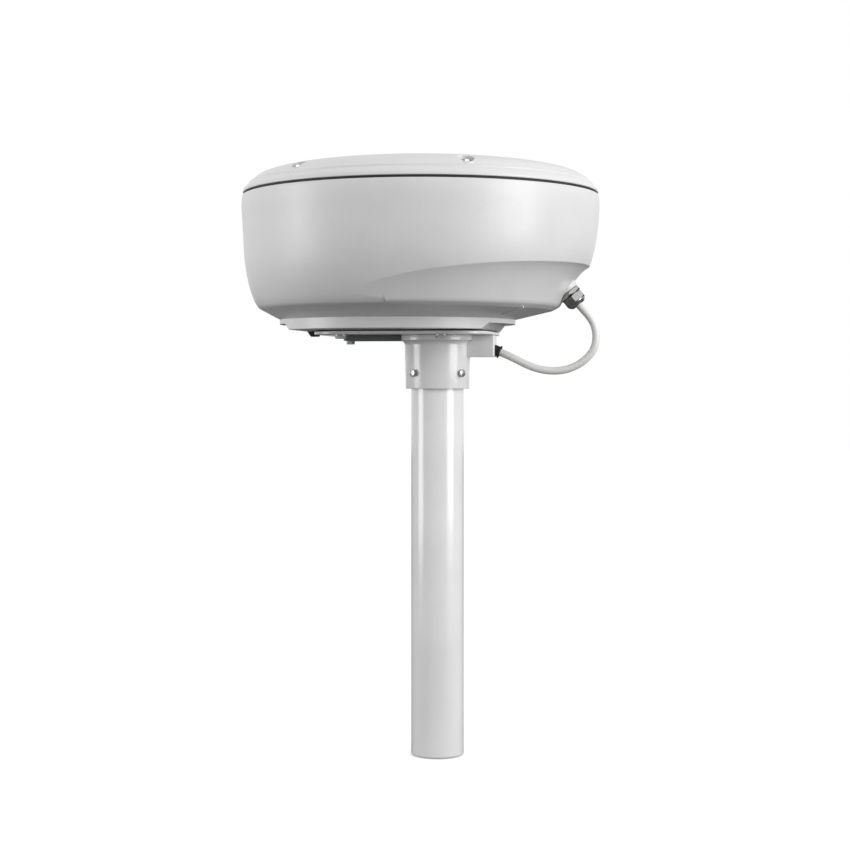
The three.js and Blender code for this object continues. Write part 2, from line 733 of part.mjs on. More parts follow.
function addRadome(parent) {
  place(parent, "lower_housing", bowlShape(), "radomeWhite");
  place(parent, "cover_gasket", gasketShape(), "blackRubber");
  place(parent, "top_cover", coverShape(), "radomeWhite");
  const bolt = coverBoltShape();
  boltAngles(coverBoltPhase, coverBoltCount).forEach((angle, k) => {
    const spot = [...polar(coverBoltCircle, angle), coverTopZ - coverPocketDepth + seatGap];
    place(parent, `cover_bolt_${k + 1}`, bolt, "stainless", spot);
  });
  place(parent, "drain_plug", drainShape(), "blackRubber", [footOffset + drainX, 0, footZ]);
  place(parent, "gland_body", glandPlaced(glandBodyShape()), "nickel");
  place(parent, "gland_nut", glandPlaced(glandNutShape()), "nickel");
  const nut = cut(
    hexRod(22, -glandBackDepth - seatGap - 5, -glandBackDepth - seatGap),
    rod(glandThread + seatGap, -60, 0),
  );
  place(parent, "gland_locknut", glandPlaced(nut), "nickel");
}

// ---- Electronics and drive, modelled about the radome's axis -------------------------------

const standoffRadius = chassisRadius - 45;
const standoffPhase = 22.5;
const magnetRadius = gearRadius - 5;
const terminalX = chassisShift + chassisRadius - 10;
const motorCentre = polar(gearRadius + pinionRadius, motorAngle);
const motorHeight = gearZ - deckZ - 7;
const motorShaft = 3;

function chassisShape() {
  const top = chassisZ + chassisThickness;
  const plate = at(rod(chassisRadius, chassisZ, top, domeSides), chassisShift, 0);
  return cut(plate, rod(8, chassisZ - 1, top + 1));
}

function bearingHousingShape() {
  const top = upperBearingZ + bearingWidth;
  const bore = bearingOuter + seatGap;
  const shoulder = lowerBearingZ + bearingWidth + seatGap;
  const profile = [
    [shaftRadius + 2, deckZ],
    [42, deckZ],
    [42, deckZ + 4],
    [bearingOuter + 8, deckZ + 6],
    [bearingOuter + 8, top],
    [bore, top],
    [bore, upperBearingZ - seatGap],
    [bearingOuter - 4, upperBearingZ - seatGap],
    [bearingOuter - 4, shoulder],
    [bore, shoulder],
    [bore, lowerBearingZ - seatGap],
    [shaftRadius + 2, lowerBearingZ - seatGap],
    [shaftRadius + 2, deckZ],
  ];
  return turned(profile);
}

const bearingShape = (z) =>
  ring(shaftRadius + runningGap, bearingOuter, z, z + bearingWidth, mediumSides);

// A stub that stands inside the hollow shaft, on a flange under the chassis plate.
function rotaryJointShape() {
  const flangeTop = chassisZ - seatGap;
  const profile = [
    [0, chassisZ - 13],
    [8, chassisZ - 13],
    [8, flangeTop - 4],
    [16, flangeTop - 4],
    [16, flangeTop],
    [shaftBore - runningGap, flangeTop],
    [shaftBore - runningGap, lowerBearingZ + 8],
    [0, lowerBearingZ + 8],
  ];
  return turned(profile, mediumSides);
}

// A circuit board on four legs with blocks on it, each [x, y, length, width, height].
function boardShape(length, width, legHeight, blocks) {
  const board = block(-length / 2, length / 2, -width / 2, width / 2, legHeight, legHeight + 1.8);
  const leg = rod(2.5, 0, legHeight + 0.5, 8);
  const [legX, legY] = [length / 2 - 5, width / 2 - 5];
  const legs = [-1, 1].flatMap((sx) => [-1, 1].map((sy) => at(leg, sx * legX, sy * legY)));
  const parts = blocks.map(([x, y, l, w, h]) =>
    block(x - l / 2, x + l / 2, y - w / 2, y + w / 2, legHeight + 1, legHeight + 1.8 + h),
  );
  return union(board, legs, parts);
}

const ribHalfLength = 36;
const transceiverX = -(gearRadius + gearModule + 2.25 + ribHalfLength);

// A cast box, open underneath, with cooling ribs on its lid.
function transceiverShape() {
  const outer = block(-41, 41, -60, 60, 0, 36);
  const inner = block(-38, 38, -57, 57, -1, 33);
  const ribs = Array.from({ length: 7 }, (_, k) =>
    block(-ribHalfLength, ribHalfLength, -50 + 16 * k, -47 + 16 * k, 35, 40),
  );
  return union(cut(outer, inner), ribs);
}

function magnetronShape() {
  const body = rod(15, 4, 24);
  const magnets = [-1, 1].map((side) => block(side * 19 - 5, side * 19 + 5, -14, 14, 0, 28));
  const yoke = block(-24, 24, -14, 14, 0, 5);
  return union(yoke, body, magnets);
}

function terminalShape() {
  const slots = Array.from({ length: 5 }, (_, k) => at(rod(2, 4, 14, smallSides), 0, -18 + 9 * k));
  return cut(block(-5, 5, -23, 23, 0, 12), slots);
}

function motorShape() {
  const top = motorHeight + 3;
  const can = turned([[0, 3], [19, 3], [20, 4], [20, top - 1], [19, top], [0, top]]);
  const nose = rod(7, motorHeight, top + 3);
  return cut(union(can, nose), rod(motorShaft + runningGap, 8, 100));
}

function motorMountShape() {
  return raised(roundedRectangle(-26, 26, -26, 26, 6), 0, 3 - seatGap, 6);
}

function sensorShape() {
  const top = gearZ - 5 - deckZ;
  const foot = block(-5, 5, -5, 5, 0, 2);
  const stem = block(-2, 2, -5, 5, 1, top);
  return union(foot, stem, block(-5, 5, -5, 5, top - 4, top));
}

function innerLeadShape() {
  const along = (s) => [
    domeRadius - glandInset + s * Math.cos(radians(glandTilt)),
    footZ + glandHeight - s * Math.sin(radians(glandTilt)),
  ];
  const [startX, startZ] = along(-glandBackDepth - 8 - seatGap);
  const [nextX, nextZ] = along(-glandBackDepth - 16);
  const end = [terminalX, deckZ + 12 + seatGap];
  const route = [
    [startX, startZ],
    [nextX, nextZ],
    [end[0] + 12, Math.max(nextZ, end[1] + 26)],
    [end[0] + 1, end[1] + 18],
    [end[0], end[1]],
  ];
  return tube(route.map(([x, z]) => new THREE.Vector3(x, 0, z)), cableRadius - 1, 12, 8);
}

function addElectronics(parent) {
  const foot = new THREE.Group();
  foot.position.x = footOffset;
  parent.add(foot);
  const floorZ = footZ + 5 + seatGap;
  const post = hexRod(11, 0, chassisZ - seatGap - floorZ);
  boltAngles(standoffPhase, 4).forEach((angle, k) => {
    place(foot, `standoff_${k + 1}`, post, "brass", [...polar(standoffRadius, angle), floorZ]);
  });
  place(parent, "chassis_plate", chassisShape(), "aluminium");
  place(parent, "bearing_housing", bearingHousingShape(), "castAluminium");
  place(parent, "lower_bearing", bearingShape(lowerBearingZ), "bearingSteel");
  place(parent, "upper_bearing", bearingShape(upperBearingZ), "bearingSteel");
  place(parent, "rotary_joint", rotaryJointShape(), "brass");
  place(parent, "transceiver_case", transceiverShape(), "castAluminium", [transceiverX, 0, deckZ]);
  place(parent, "magnetron", magnetronShape(), "magnetronCopper", [transceiverX, 0, deckZ]);
  const modulatorParts = [
    [-25, 10, 26, 22, 18],
    [12, 8, 18, 24, 14],
    [32, -12, 12, 12, 22],
    [-5, -18, 30, 8, 6],
  ];
  const modulator = boardShape(96, 60, 7, modulatorParts);
  place(parent, "modulator_board", modulator, "boardGreen", [0, 88, deckZ]);
  const powerParts = [[-12, 12, 24, 28, 20], [14, -16, 18, 22, 16], [18, 18, 10, 14, 12]];
  place(parent, "power_board", boardShape(66, 76, 7, powerParts), "boardGreen", [82, 0, deckZ]);
  place(parent, "terminal_block", terminalShape(), "terminalGreen", [terminalX, 0, deckZ]);
  place(parent, "inner_lead", innerLeadShape(), "cableWhite");
  place(parent, "motor_mount", motorMountShape(), "aluminium", [...motorCentre, deckZ]);
  place(parent, "drive_motor", motorShape(), "motorBlack", [...motorCentre, deckZ]);
  const sensorSpot = [...polar(magnetRadius, motorAngle - 120), deckZ];
  place(parent, "heading_sensor", sensorShape(), "motorBlack", sensorSpot, [0, 0, 60]);
}

// ---- Gears ---------------------------------------------------------------------------------

// A gear's outline with involute flanks and a tooth centred on +X. Half of the backlash is taken
// from this gear's teeth.
function gearOutline(teeth) {
  const pitch = (gearModule * teeth) / 2;
  const base = pitch * Math.cos(radians(pressureAngle));
  const tip = pitch + gearModule;
  const root = pitch - 1.25 * gearModule;
  const involute = (r) => {
    const angle = Math.acos(Math.min(1, base / r));
    return Math.tan(angle) - angle;
  };
  const thickness = (Math.PI * gearModule) / 2 - backlash / 2;
  const halfAngle = (r) => thickness / (2 * pitch) + involute(pitch) - involute(Math.max(r, base));
  const start = Math.max(root, base);
  const radii = [root, ...[0, 0.5, 1].map((t) => start + t * (tip - start))];
  const flank = start > root ? radii : radii.slice(1);
  const outline = new THREE.Shape();
  for (let tooth = 0; tooth < teeth; tooth++) {
    const centre = (2 * Math.PI * tooth) / teeth;
    const rising = flank.map((r) => [r, centre - halfAngle(r)]);
    const falling = [...flank].reverse().map((r) => [r, centre + halfAngle(r)]);
    for (const [r, angle] of [...rising, ...falling]) {
      const [x, y] = [r * Math.cos(angle), r * Math.sin(angle)];
      if (outline.currentPoint.length() === 0) outline.moveTo(x, y);
      else outline.lineTo(x, y);
    }
  }
  outline.closePath();
  return outline;
}

function driveGearShape() {
  const holes = boltAngles(30, 6).map((angle) => at(rod(11, -1, gearWidth + 1), ...polar(37, angle)));
  const hub = rod(18, gearWidth - 1, gearWidth + 3 - seatGap, largeSides);
  const bore = rod(shaftRadius + seatGap, -1, gearWidth + 5, largeSides);
  return cut(union(raised(gearOutline(gearTeeth), 0, gearWidth), hub), holes, bore);
}

function pinionShape() {
  const gear = raised(gearOutline(pinionTeeth), 0, gearWidth + 2);
  const shaft = rod(motorShaft, deckZ + 14 - gearZ, gearWidth + 5);
  return union(gear, shaft);
}

// ---- Antenna, modelled about the radome's axis ---------------------------------------------

function shaftShape() {
  const flangeTop = shaftFlangeZ + 5;
  const profile = [
    [shaftBore, lowerBearingZ - seatGap],
    [shaftRadius, lowerBearingZ - seatGap],
    [shaftRadius, shaftFlangeZ],
    [28, shaftFlangeZ],
    [28, flangeTop],
    [shaftBore, flangeTop],
    [shaftBore, lowerBearingZ - seatGap],
  ];
  return turned(profile);
}

const guideHeight = 26; // of the antenna's waveguide
const arrayUnderside = arrayZ - guideHeight / 2;

function bracketShape() {
  const base = raised(roundedRectangle(-22, 18, -90, 90, 8), 0, 3, 6);
  const cheekTop = arrayUnderside - bracketZ - seatGap;
  const cheek = block(-12, 14, -1.5, 1.5, 2, cheekTop);
  const shelf = block(-12, 14, -10, 10, cheekTop - 2.5, cheekTop);
  const cheeks = [-70, 70].map((y) => at(union(cheek, shelf), 0, y));
  return cut(union(base, cheeks), rod(shaftBore, -1, 4));
}

// The waveguide with its flared horn, which opens forwards, as an outline in X and Z.
function arrayShape() {
  const half = antennaHeight / 2;
  const throat = guideHeight / 2;
  const [back, neck, mouth] = [14, -12, -12 - hornDepth];
  const points = [
    [back, -throat],
    [back, throat],
    [neck, throat],
    [mouth, half],
    [mouth, half - 2.4],
    [neck + 1, throat - 3],
    [neck + 1, 3 - throat],
    [mouth, 2.4 - half],
    [mouth, -half],
    [neck, -throat],
  ];
  const outline = new THREE.Shape(points.map(([x, z]) => new THREE.Vector2(x, z)));
  const shape = raised(outline, -antennaHalfLength, antennaHalfLength);
  return shape.rotate([90, 0, 0]);
}

function arrayCoverShape() {
  const half = antennaHeight / 2;
  const mouth = -12 - hornDepth - seatGap;
  const outline = new THREE.Shape();
  outline.moveTo(mouth, -half);
  outline.lineTo(mouth, half);
  outline.quadraticCurveTo(mouth - 5, 0, mouth, -half);
  return raised(outline, -antennaHalfLength, antennaHalfLength, 8).rotate([90, 0, 0]);
}

function feedShape() {
  const base = ring(0, 9, 3 + seatGap, 5.5, mediumSides);
  return union(base, rod(5, 3 + seatGap, arrayUnderside - bracketZ - seatGap));
}

function addAntenna(parent) {
  place(parent, "antenna_shaft", shaftShape(), "bearingSteel");
  place(parent, "drive_gear", driveGearShape(), "gearPlastic", [0, 0, gearZ], [0, 0, motorAngle]);
  place(parent, "antenna_bracket", bracketShape(), "aluminium", [0, 0, bracketZ]);
  place(parent, "feed_guide", feedShape(), "brass", [0, 0, bracketZ]);
  place(parent, "antenna_array", arrayShape(), "aluminium", [0, 0, arrayZ]);
  place(parent, "array_cover", arrayCoverShape(), "arrayCover", [0, 0, arrayZ]);
  const magnetSpot = [...polar(magnetRadius, motorAngle - 120), gearZ - seatGap];
  place(parent, "heading_magnet", rod(2.4, -3, 0, smallSides), "stainless", magnetSpot);
}

function addPinion(parent) {
  const halfPitch = 180 / pinionTeeth;
  const turn = [0, 0, motorAngle + 180 + halfPitch];
  place(parent, "motor_pinion", pinionShape(), "gearPlastic", [...motorCentre, gearZ], turn);
}

// ---- Cable ---------------------------------------------------------------------------------

function cableShape() {
  const points = cableRoute.map(([x, z]) => new THREE.Vector3(x, 0, z));
  return tube(points, cableRadius, 12, 12);
}

// ---- The whole part ------------------------------------------------------------------------

const radarDome = new THREE.Group();
addMast(radarDome);
place(radarDome, "scanner_cable", cableShape(), "cableWhite");

const radome = new THREE.Group();
radome.position.x = domeAxisX;
addRadome(radome);
addElectronics(radome);
addAntenna(radome);
addPinion(radome);
radarDome.add(radome);

export default radarDome;
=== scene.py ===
"""The looks of the radar dome antenna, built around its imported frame. Lengths are in metres."""

import json
import math

import bmesh
import bpy
import numpy as np
from mathutils import Matrix, Vector


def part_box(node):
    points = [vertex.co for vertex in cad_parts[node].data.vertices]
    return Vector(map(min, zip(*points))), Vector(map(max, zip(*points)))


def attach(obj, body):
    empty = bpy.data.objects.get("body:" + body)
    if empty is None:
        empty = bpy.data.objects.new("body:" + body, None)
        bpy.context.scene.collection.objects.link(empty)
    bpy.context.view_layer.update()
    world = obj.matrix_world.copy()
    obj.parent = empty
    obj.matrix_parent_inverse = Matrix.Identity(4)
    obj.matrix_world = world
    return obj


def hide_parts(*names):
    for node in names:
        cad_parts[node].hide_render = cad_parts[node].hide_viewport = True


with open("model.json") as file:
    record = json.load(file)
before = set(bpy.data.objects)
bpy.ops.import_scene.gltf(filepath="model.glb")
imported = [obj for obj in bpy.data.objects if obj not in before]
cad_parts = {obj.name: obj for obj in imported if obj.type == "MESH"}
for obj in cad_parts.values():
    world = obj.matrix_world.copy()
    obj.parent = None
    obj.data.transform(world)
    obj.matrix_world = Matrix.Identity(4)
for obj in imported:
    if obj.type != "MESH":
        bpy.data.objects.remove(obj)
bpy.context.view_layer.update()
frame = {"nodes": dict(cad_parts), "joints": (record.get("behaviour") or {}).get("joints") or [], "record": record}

MM = 0.001

# ---- Places that the frame gives ------------------------------------------------------------

record = frame["record"]
spin = next(j for j in frame["joints"] if j["name"] == "antenna_spin")
DOME = Vector((spin["pos_m"][0], 0, 0))
BOWL_LOW, BOWL_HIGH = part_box("lower_housing")
COVER_LOW, COVER_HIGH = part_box("top_cover")
POLE_LOW, POLE_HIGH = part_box("pole")
HEAD_LOW, HEAD_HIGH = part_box("pole_head")
PLATE_LOW, PLATE_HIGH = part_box("mounting_plate")
PAD_LOW, PAD_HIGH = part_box("foot_pad")
ARM_LOW, ARM_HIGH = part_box("support_arm")
BOX_LOW, BOX_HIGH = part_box("cable_entry_box")
GASKET_LOW, GASKET_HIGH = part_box("cover_gasket")

DOME_RADIUS = 238 * MM
FOOT_Z = BOWL_LOW.z
SEAM_Z = BOWL_HIGH.z
FOOT_OFFSET = -31 * MM  # from the dome's axis to the foot's
FOOT = DOME + Vector((FOOT_OFFSET, 0, 0))
FLANGE_RADIUS = DOME_RADIUS - 80.5 * MM
FOOT_CUT_X = DOME_RADIUS - 112.3 * MM  # from the foot's axis
FOOT_CUT_HEIGHT = 8.4 * MM
FLANGE_TOP = FOOT_Z + 14.8 * MM
BELLY_TOP = FOOT_Z + 29.8 * MM
BELLY_INSET = 22 * MM
BELLY_SHIFT = -13 * MM  # the belly's upper edge is centred this far from the dome's axis
CENTRED_Z = FOOT_Z + 153.8 * MM  # the wall leans forwards below this height
SCOOP_OFFSET = -20 * MM  # from the dome's axis to the scoop's
SHELL = 4.5 * MM
POLE_RADIUS = (POLE_HIGH.x - POLE_LOW.x) / 2


def middle(node):
    low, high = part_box(node)
    return (low + high) / 2


# ---- Camera ---------------------------------------------------------------------------------

VIEW_AZIMUTH = math.radians(10)
CAMERA_DISTANCE = 2.243
EYE_HEIGHT = 0.5047
IMAGE_WIDTH = 850


def add_camera():
    data = bpy.data.cameras.new("camera")
    data.sensor_width = 36
    data.lens = 71.06
    data.shift_x = 4.5 / IMAGE_WIDTH
    data.shift_y = -51 / IMAGE_WIDTH
    camera = bpy.data.objects.new("camera", data)
    bpy.context.scene.collection.objects.link(camera)
    out = Vector((math.sin(VIEW_AZIMUTH), -math.cos(VIEW_AZIMUTH), 0))
    camera.location = DOME + CAMERA_DISTANCE * out + Vector((0, 0, EYE_HEIGHT))
    camera.rotation_euler = (math.pi / 2, 0, VIEW_AZIMUTH)
    bpy.context.scene.camera = camera


add_camera()

# ---- Materials ------------------------------------------------------------------------------


class Nodes:
    """A material's node tree, with short calls to add and join nodes."""

    def __init__(self, name):
        self.material = bpy.data.materials.new(name)
        self.material.use_nodes = True
        self.tree = self.material.node_tree
        self.shader = self.tree.nodes["Principled BSDF"]
        self.coords = self.add("ShaderNodeTexCoord").outputs["Object"]

    def add(self, kind, **settings):
        node = self.tree.nodes.new(kind)
        for key, value in settings.items():
            setattr(node, key, value)
        return node

    def link(self, source, target):
        self.tree.links.new(source, target)

    def stretched(self, scale):
        node = self.add("ShaderNodeMapping")
        node.inputs["Scale"].default_value = scale
        self.link(self.coords, node.inputs["Vector"])
        return node.outputs["Vector"]

    def noise(self, scale, detail=3.0, roughness=0.55, vector=None):
        node = self.add("ShaderNodeTexNoise")
        node.inputs["Scale"].default_value = scale
        node.inputs["Detail"].default_value = detail
        node.inputs["Roughness"].default_value = roughness
        self.link(vector or self.coords, node.inputs["Vector"])
        return node.outputs["Fac"]

    def ranged(self, value, low, high, start=0.3, end=0.7):
        node = self.add("ShaderNodeMapRange")
        self.link(value, node.inputs["Value"])
        node.inputs["From Min"].default_value = start
        node.inputs["From Max"].default_value = end
        node.inputs["To Min"].default_value = low
        node.inputs["To Max"].default_value = high
        return node.outputs["Result"]

    def mixed(self, factor, first, second):
        """first and second are colours, or sockets that give one."""
        node = self.add("ShaderNodeMix", data_type="RGBA")
        self.link(factor, node.inputs[0])
        for socket, value in ((node.inputs[6], first), (node.inputs[7], second)):
            if isinstance(value, tuple):
                socket.default_value = (*value, 1)
            else:
                self.link(value, socket)
        return node.outputs[2]

    def bump(self, height, distance, strength=1.0, under=None):
        node = self.add("ShaderNodeBump")
        node.inputs["Distance"].default_value = distance
        node.inputs["Strength"].default_value = strength
        self.link(height, node.inputs["Height"])
        if under is not None:
            self.link(under, node.inputs["Normal"])
        return node.outputs["Normal"]

    def set(self, **values):
        for key, value in values.items():
            self.shader.inputs[key.replace("_", " ")].default_value = value

    def to(self, socket, source):
        self.link(source, self.shader.inputs[socket])


def shade(colour, factor):
    return tuple(min(1.0, c * factor) for c in colour)


def painted(name, colour, rough, coat, peel=0.00003, cloud=5.0):
    """A coat of paint or gel: orange peel, soft patches of tone and soft patches of gloss."""
    n = Nodes(name)
    tone = n.mixed(n.ranged(n.noise(cloud, 2, 0.4), 0, 1), shade(colour, 0.95), shade(colour, 1.03))
    dust = n.noise(24, 5, 0.6)
    n.to("Base Color", n.mixed(n.ranged(dust, 0, 0.5, 0.5, 0.75), tone, shade(colour, 0.93)))
    gloss = n.noise(cloud * 1.7, 3, 0.5)
    n.to("Roughness", n.ranged(gloss, rough * 0.8, rough * 1.25))
    ripple = n.bump(n.noise(230, 2), peel * 4)
    n.to("Normal", n.bump(n.noise(900, 2), peel, under=ripple))
    n.set(Coat_Weight=coat, Coat_Roughness=rough * 0.6)
    return n.material


def metal(name, colour, rough, grain=(1, 1, 1), grain_scale=700, depth=0.00002):
    """A bare or plated metal whose tool marks run along the axis with the small grain value."""
    n = Nodes(name)
    marks = n.noise(grain_scale, 4, 0.65, n.stretched(grain))
    tarnish = n.noise(55, 4)
    tone = n.mixed(n.ranged(tarnish, 0, 1), shade(colour, 0.86), shade(colour, 1.06))
    n.to("Base Color", n.mixed(n.ranged(marks, 0, 0.35), tone, shade(colour, 0.7)))
    n.to("Roughness", n.ranged(marks, rough * 0.75, rough * 1.35))
    n.to("Normal", n.bump(marks, depth))
    n.set(Metallic=1.0)
    return n.material


def moulded(name, colour, rough, grain=600, depth=0.00004, mottle=0.06):
    """Plastic, rubber or board with a fine moulded grain."""
    n = Nodes(name)
    cloud = n.noise(40, 4)
    speck = n.noise(grain, 3)
    tone = n.mixed(n.ranged(cloud, 0, 1), shade(colour, 1 - mottle), shade(colour, 1 + mottle))
    n.to("Base Color", tone)
    n.to("Roughness", n.ranged(speck, rough * 0.85, rough * 1.15))
    n.to("Normal", n.bump(speck, depth))
    n.set(Specular_IOR_Level=0.45)
    return n.material


MATERIALS = {
    "radome_white": painted("radome_white", (0.66, 0.66, 0.66), 0.42, 0.15),
    "white_paint": painted("white_paint", (0.78, 0.78, 0.78), 0.22, 0.4, cloud=16),
    "pole_paint": painted("pole_paint", (0.78, 0.78, 0.78), 0.2, 0.5, cloud=11),
    # grey_paint is the support arm's finish. Its dark grey-green base colour is partly painted shade, the shade
    # under the plate, and partly the bar's own grey-green tint.
    "grey_paint": painted("grey_paint", (0.105, 0.12, 0.115), 0.42, 0.1, peel=0.00005, cloud=14),
    "black_rubber": moulded("black_rubber", (0.018, 0.018, 0.02), 0.7, 900, 0.00006, 0.2),
    "stainless": metal("stainless", (0.45, 0.455, 0.46), 0.3, (1, 1, 0.1)),
    "nickel": metal("nickel", (0.42, 0.42, 0.415), 0.27, (1, 1, 0.2), 500),
    "cable_white": moulded("cable_white", (0.74, 0.74, 0.73), 0.36, 500, 0.00003, 0.03),
    "aluminium": metal("aluminium", (0.6, 0.61, 0.63), 0.36, (0.08, 1, 1)),
    "cast_aluminium": metal("cast_aluminium", (0.45, 0.46, 0.47), 0.55, (1, 1, 1), 350, 0.0001),
    "bearing_steel": metal("bearing_steel", (0.56, 0.57, 0.58), 0.18, (1, 1, 0.05)),
    "motor_black": moulded("motor_black", (0.028, 0.03, 0.033), 0.45, 500, 0.00004, 0.15),
    "gear_plastic": moulded("gear_plastic", (0.74, 0.71, 0.6), 0.45),
    "brass": metal("brass", (0.6, 0.42, 0.16), 0.3, (1, 1, 0.1)),
    "board_green": moulded("board_green", (0.02, 0.13, 0.05), 0.4, 300, 0.00005, 0.2),
    "terminal_green": moulded("terminal_green", (0.06, 0.3, 0.12), 0.45),
    "magnetron_copper": metal("magnetron_copper", (0.5, 0.2, 0.09), 0.38),
    "array_cover": moulded("array_cover", (0.66, 0.64, 0.55), 0.5),
}

# ---- Mesh helpers ---------------------------------------------------------------------------


def add_object(name, vertices, faces, smooth_angle=32):
    mesh = bpy.data.meshes.new(name)
    mesh.from_pydata([tuple(v) for v in vertices], [], [tuple(f) for f in faces])
    obj = bpy.data.objects.new(name, mesh)
    bpy.context.scene.collection.objects.link(obj)
    finish_mesh(obj, smooth_angle)
    return obj


def finish_mesh(obj, smooth_angle=32):
    """Faces outward, smooth except across edges sharper than the angle."""
    mesh = obj.data
    work = bmesh.new()
    work.from_mesh(mesh)
    bmesh.ops.remove_doubles(work, verts=work.verts, dist=2e-6)
    bmesh.ops.recalc_face_normals(work, faces=work.faces)
    work.to_mesh(mesh)
    work.free()
    mesh.shade_smooth()
    mesh.set_sharp_from_angle(angle=math.radians(smooth_angle))
    mesh.update()


def grid_faces(rows, columns):
    """Quads of a grid whose columns close on themselves."""
    faces = []
    for i in range(rows - 1):
        for j in range(columns):
            k = (j + 1) % columns
            faces.append((i * columns + j, i * columns + k, (i + 1) * columns + k, (i + 1) * columns + j))
    return faces


def lathe(name, profile, columns=96, place=None, smooth_angle=32):
    """A [radius, z] profile turned about Z, closed at the axis or on itself, then placed."""
    angles = np.linspace(0, 2 * math.pi, columns, endpoint=False)
    vertices, rows = [], len(profile)
    for r, z in profile:
        r = max(r, 0)
        vertices += [(r * math.cos(a), r * math.sin(a), z) for a in angles]
    obj = add_object(name, vertices, grid_faces(rows, columns), smooth_angle)
    if place is not None:
        obj.data.transform(place)
    return obj


def rounded_corner(before, corner, after, radius, steps=4):
    """Points of an arc-like bend that replaces a profile's corner."""
    corner = Vector(corner)
    start = corner + (Vector(before) - corner).normalized() * radius
    end = corner + (Vector(after) - corner).normalized() * radius
    points = []
    for k in range(steps + 1):
        t = k / steps
        points.append(tuple((1 - t) ** 2 * start + 2 * t * (1 - t) * corner + t * t * end))
    return points


def rounded_profile(points, radii, steps=4):
    """A profile whose corner k is rounded by radii[k]; a zero keeps it sharp."""
    result = []
    for k, (point, radius) in enumerate(zip(points, radii)):
        if radius == 0 or k in (0, len(points) - 1):
            result.append(tuple(point))
        else:
            result += rounded_corner(points[k - 1], point, points[k + 1], radius, steps)
    return result


def arc(centre, radius, start, end, steps=8):
    return [
        (centre[0] + radius * math.cos(a), centre[1] + radius * math.sin(a))
        for a in np.linspace(math.radians(start), math.radians(end), steps + 1)
    ]


def rounded_rectangle(x0, x1, y0, y1, corner, steps=8):
    return (
        arc((x1 - corner, y1 - corner), corner, 0, 90, steps)
        + arc((x0 + corner, y1 - corner), corner, 90, 180, steps)
        + arc((x0 + corner, y0 + corner), corner, 180, 270, steps)
        + arc((x1 - corner, y0 + corner), corner, 270, 360, steps)
    )


def slab(name, outline, z0, z1, edge, steps=3, smooth_angle=40):
    """An outline listed anticlockwise, raised from z0 to z1, with rounded upper and lower edges."""
    outline = np.array(outline)
    before, after = np.roll(outline, 1, 0), np.roll(outline, -1, 0)
    tangent = (after - outline) / np.linalg.norm(after - outline, axis=1)[:, None]
    tangent += (outline - before) / np.linalg.norm(outline - before, axis=1)[:, None]
    tangent /= np.linalg.norm(tangent, axis=1)[:, None]
    inward = np.stack([-tangent[:, 1], tangent[:, 0]], 1)
    levels = []
    for k in range(steps + 1):
        a = math.pi / 2 * k / steps
        levels.append((edge * (1 - math.sin(a)), edge * (1 - math.cos(a))))
    rings = [(inset, z0 + rise) for inset, rise in levels]
    rings += [(inset, z1 - rise) for inset, rise in reversed(levels)]
    vertices = []
    for inset, z in rings:
        vertices += [(x, y, z) for x, y in outline + inset * inward]
    count = len(outline)
    faces = grid_faces(len(rings), count)
    faces.append(tuple(reversed(range(count))))
    faces.append(tuple(range((len(rings) - 1) * count, len(rings) * count)))
    return add_object(name, vertices, faces, smooth_angle)


def boolean(obj, tools, operation="DIFFERENCE", smooth_angle=32):
    """Cuts obj by the tools or joins them to it, applies the result and removes the tools."""
    for tool in tools:
        modifier = obj.modifiers.new("boolean", "BOOLEAN")
        modifier.operation = operation
        modifier.solver = "EXACT"
        modifier.object = tool
    bpy.context.view_layer.update()
    shape = obj.evaluated_get(bpy.context.evaluated_depsgraph_get())
    mesh = bpy.data.meshes.new_from_object(shape)
    obj.modifiers.clear()
    old, obj.data = obj.data, mesh
    mesh.name = obj.name
    bpy.data.meshes.remove(old)
    for tool in tools:
        bpy.data.objects.remove(tool)
    finish_mesh(obj, smooth_angle)
    return obj


def rod(name, radius, z0, z1, columns=48, place=None):
    return lathe(name, [(0, z0), (radius, z0), (radius, z1), (0, z1)], columns, place)


def joined(name, objects):
    """One object with the shells of several."""
    work = bmesh.new()
    for obj in objects:
        work.from_mesh(obj.data)
    mesh = bpy.data.meshes.new(name)
    work.to_mesh(mesh)
    work.free()
    for obj in objects:
        bpy.data.objects.remove(obj)
    result = bpy.data.objects.new(name, mesh)
    bpy.context.scene.collection.objects.link(result)
    mesh.set_sharp_from_angle(angle=math.radians(32))
    return result


def dress(obj, slot, replaces=(), body="mast"):
    """Gives a piece its finish and its body, and hides the nodes that it stands for."""
    obj.data.materials.clear()
    obj.data.materials.append(MATERIALS[slot])
    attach(obj, body)
    if replaces:
        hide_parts(*replaces)
    return obj


def facing(origin, direction):
    """The place that puts local +Z along direction, at origin."""
    turn = Vector((0, 0, 1)).rotation_difference(Vector(direction).normalized())
    return Matrix.Translation(Vector(origin)) @ turn.to_matrix().to_4x4()


def spline(points, steps):
    """A Catmull-Rom curve through points, with the given steps in each span."""
    points = [np.array(p, float) for p in points]
    ends = [2 * points[0] - points[1], *points, 2 * points[-1] - points[-2]]
    result = []
    for a, b, c, d in zip(ends, ends[1:], ends[2:], ends[3:]):
        for k in range(steps):
            t = k / steps
            result.append(
                0.5
                * (
                    2 * b
                    + (c - a) * t
                    + (2 * a - 5 * b + 4 * c - d) * t**2
                    + (3 * b - 3 * c + d - a) * t**3
                )
            )
    result.append(points[-1])
    return np.array(result)


# ---- The cable, which comes first -----------------------------------------------------------

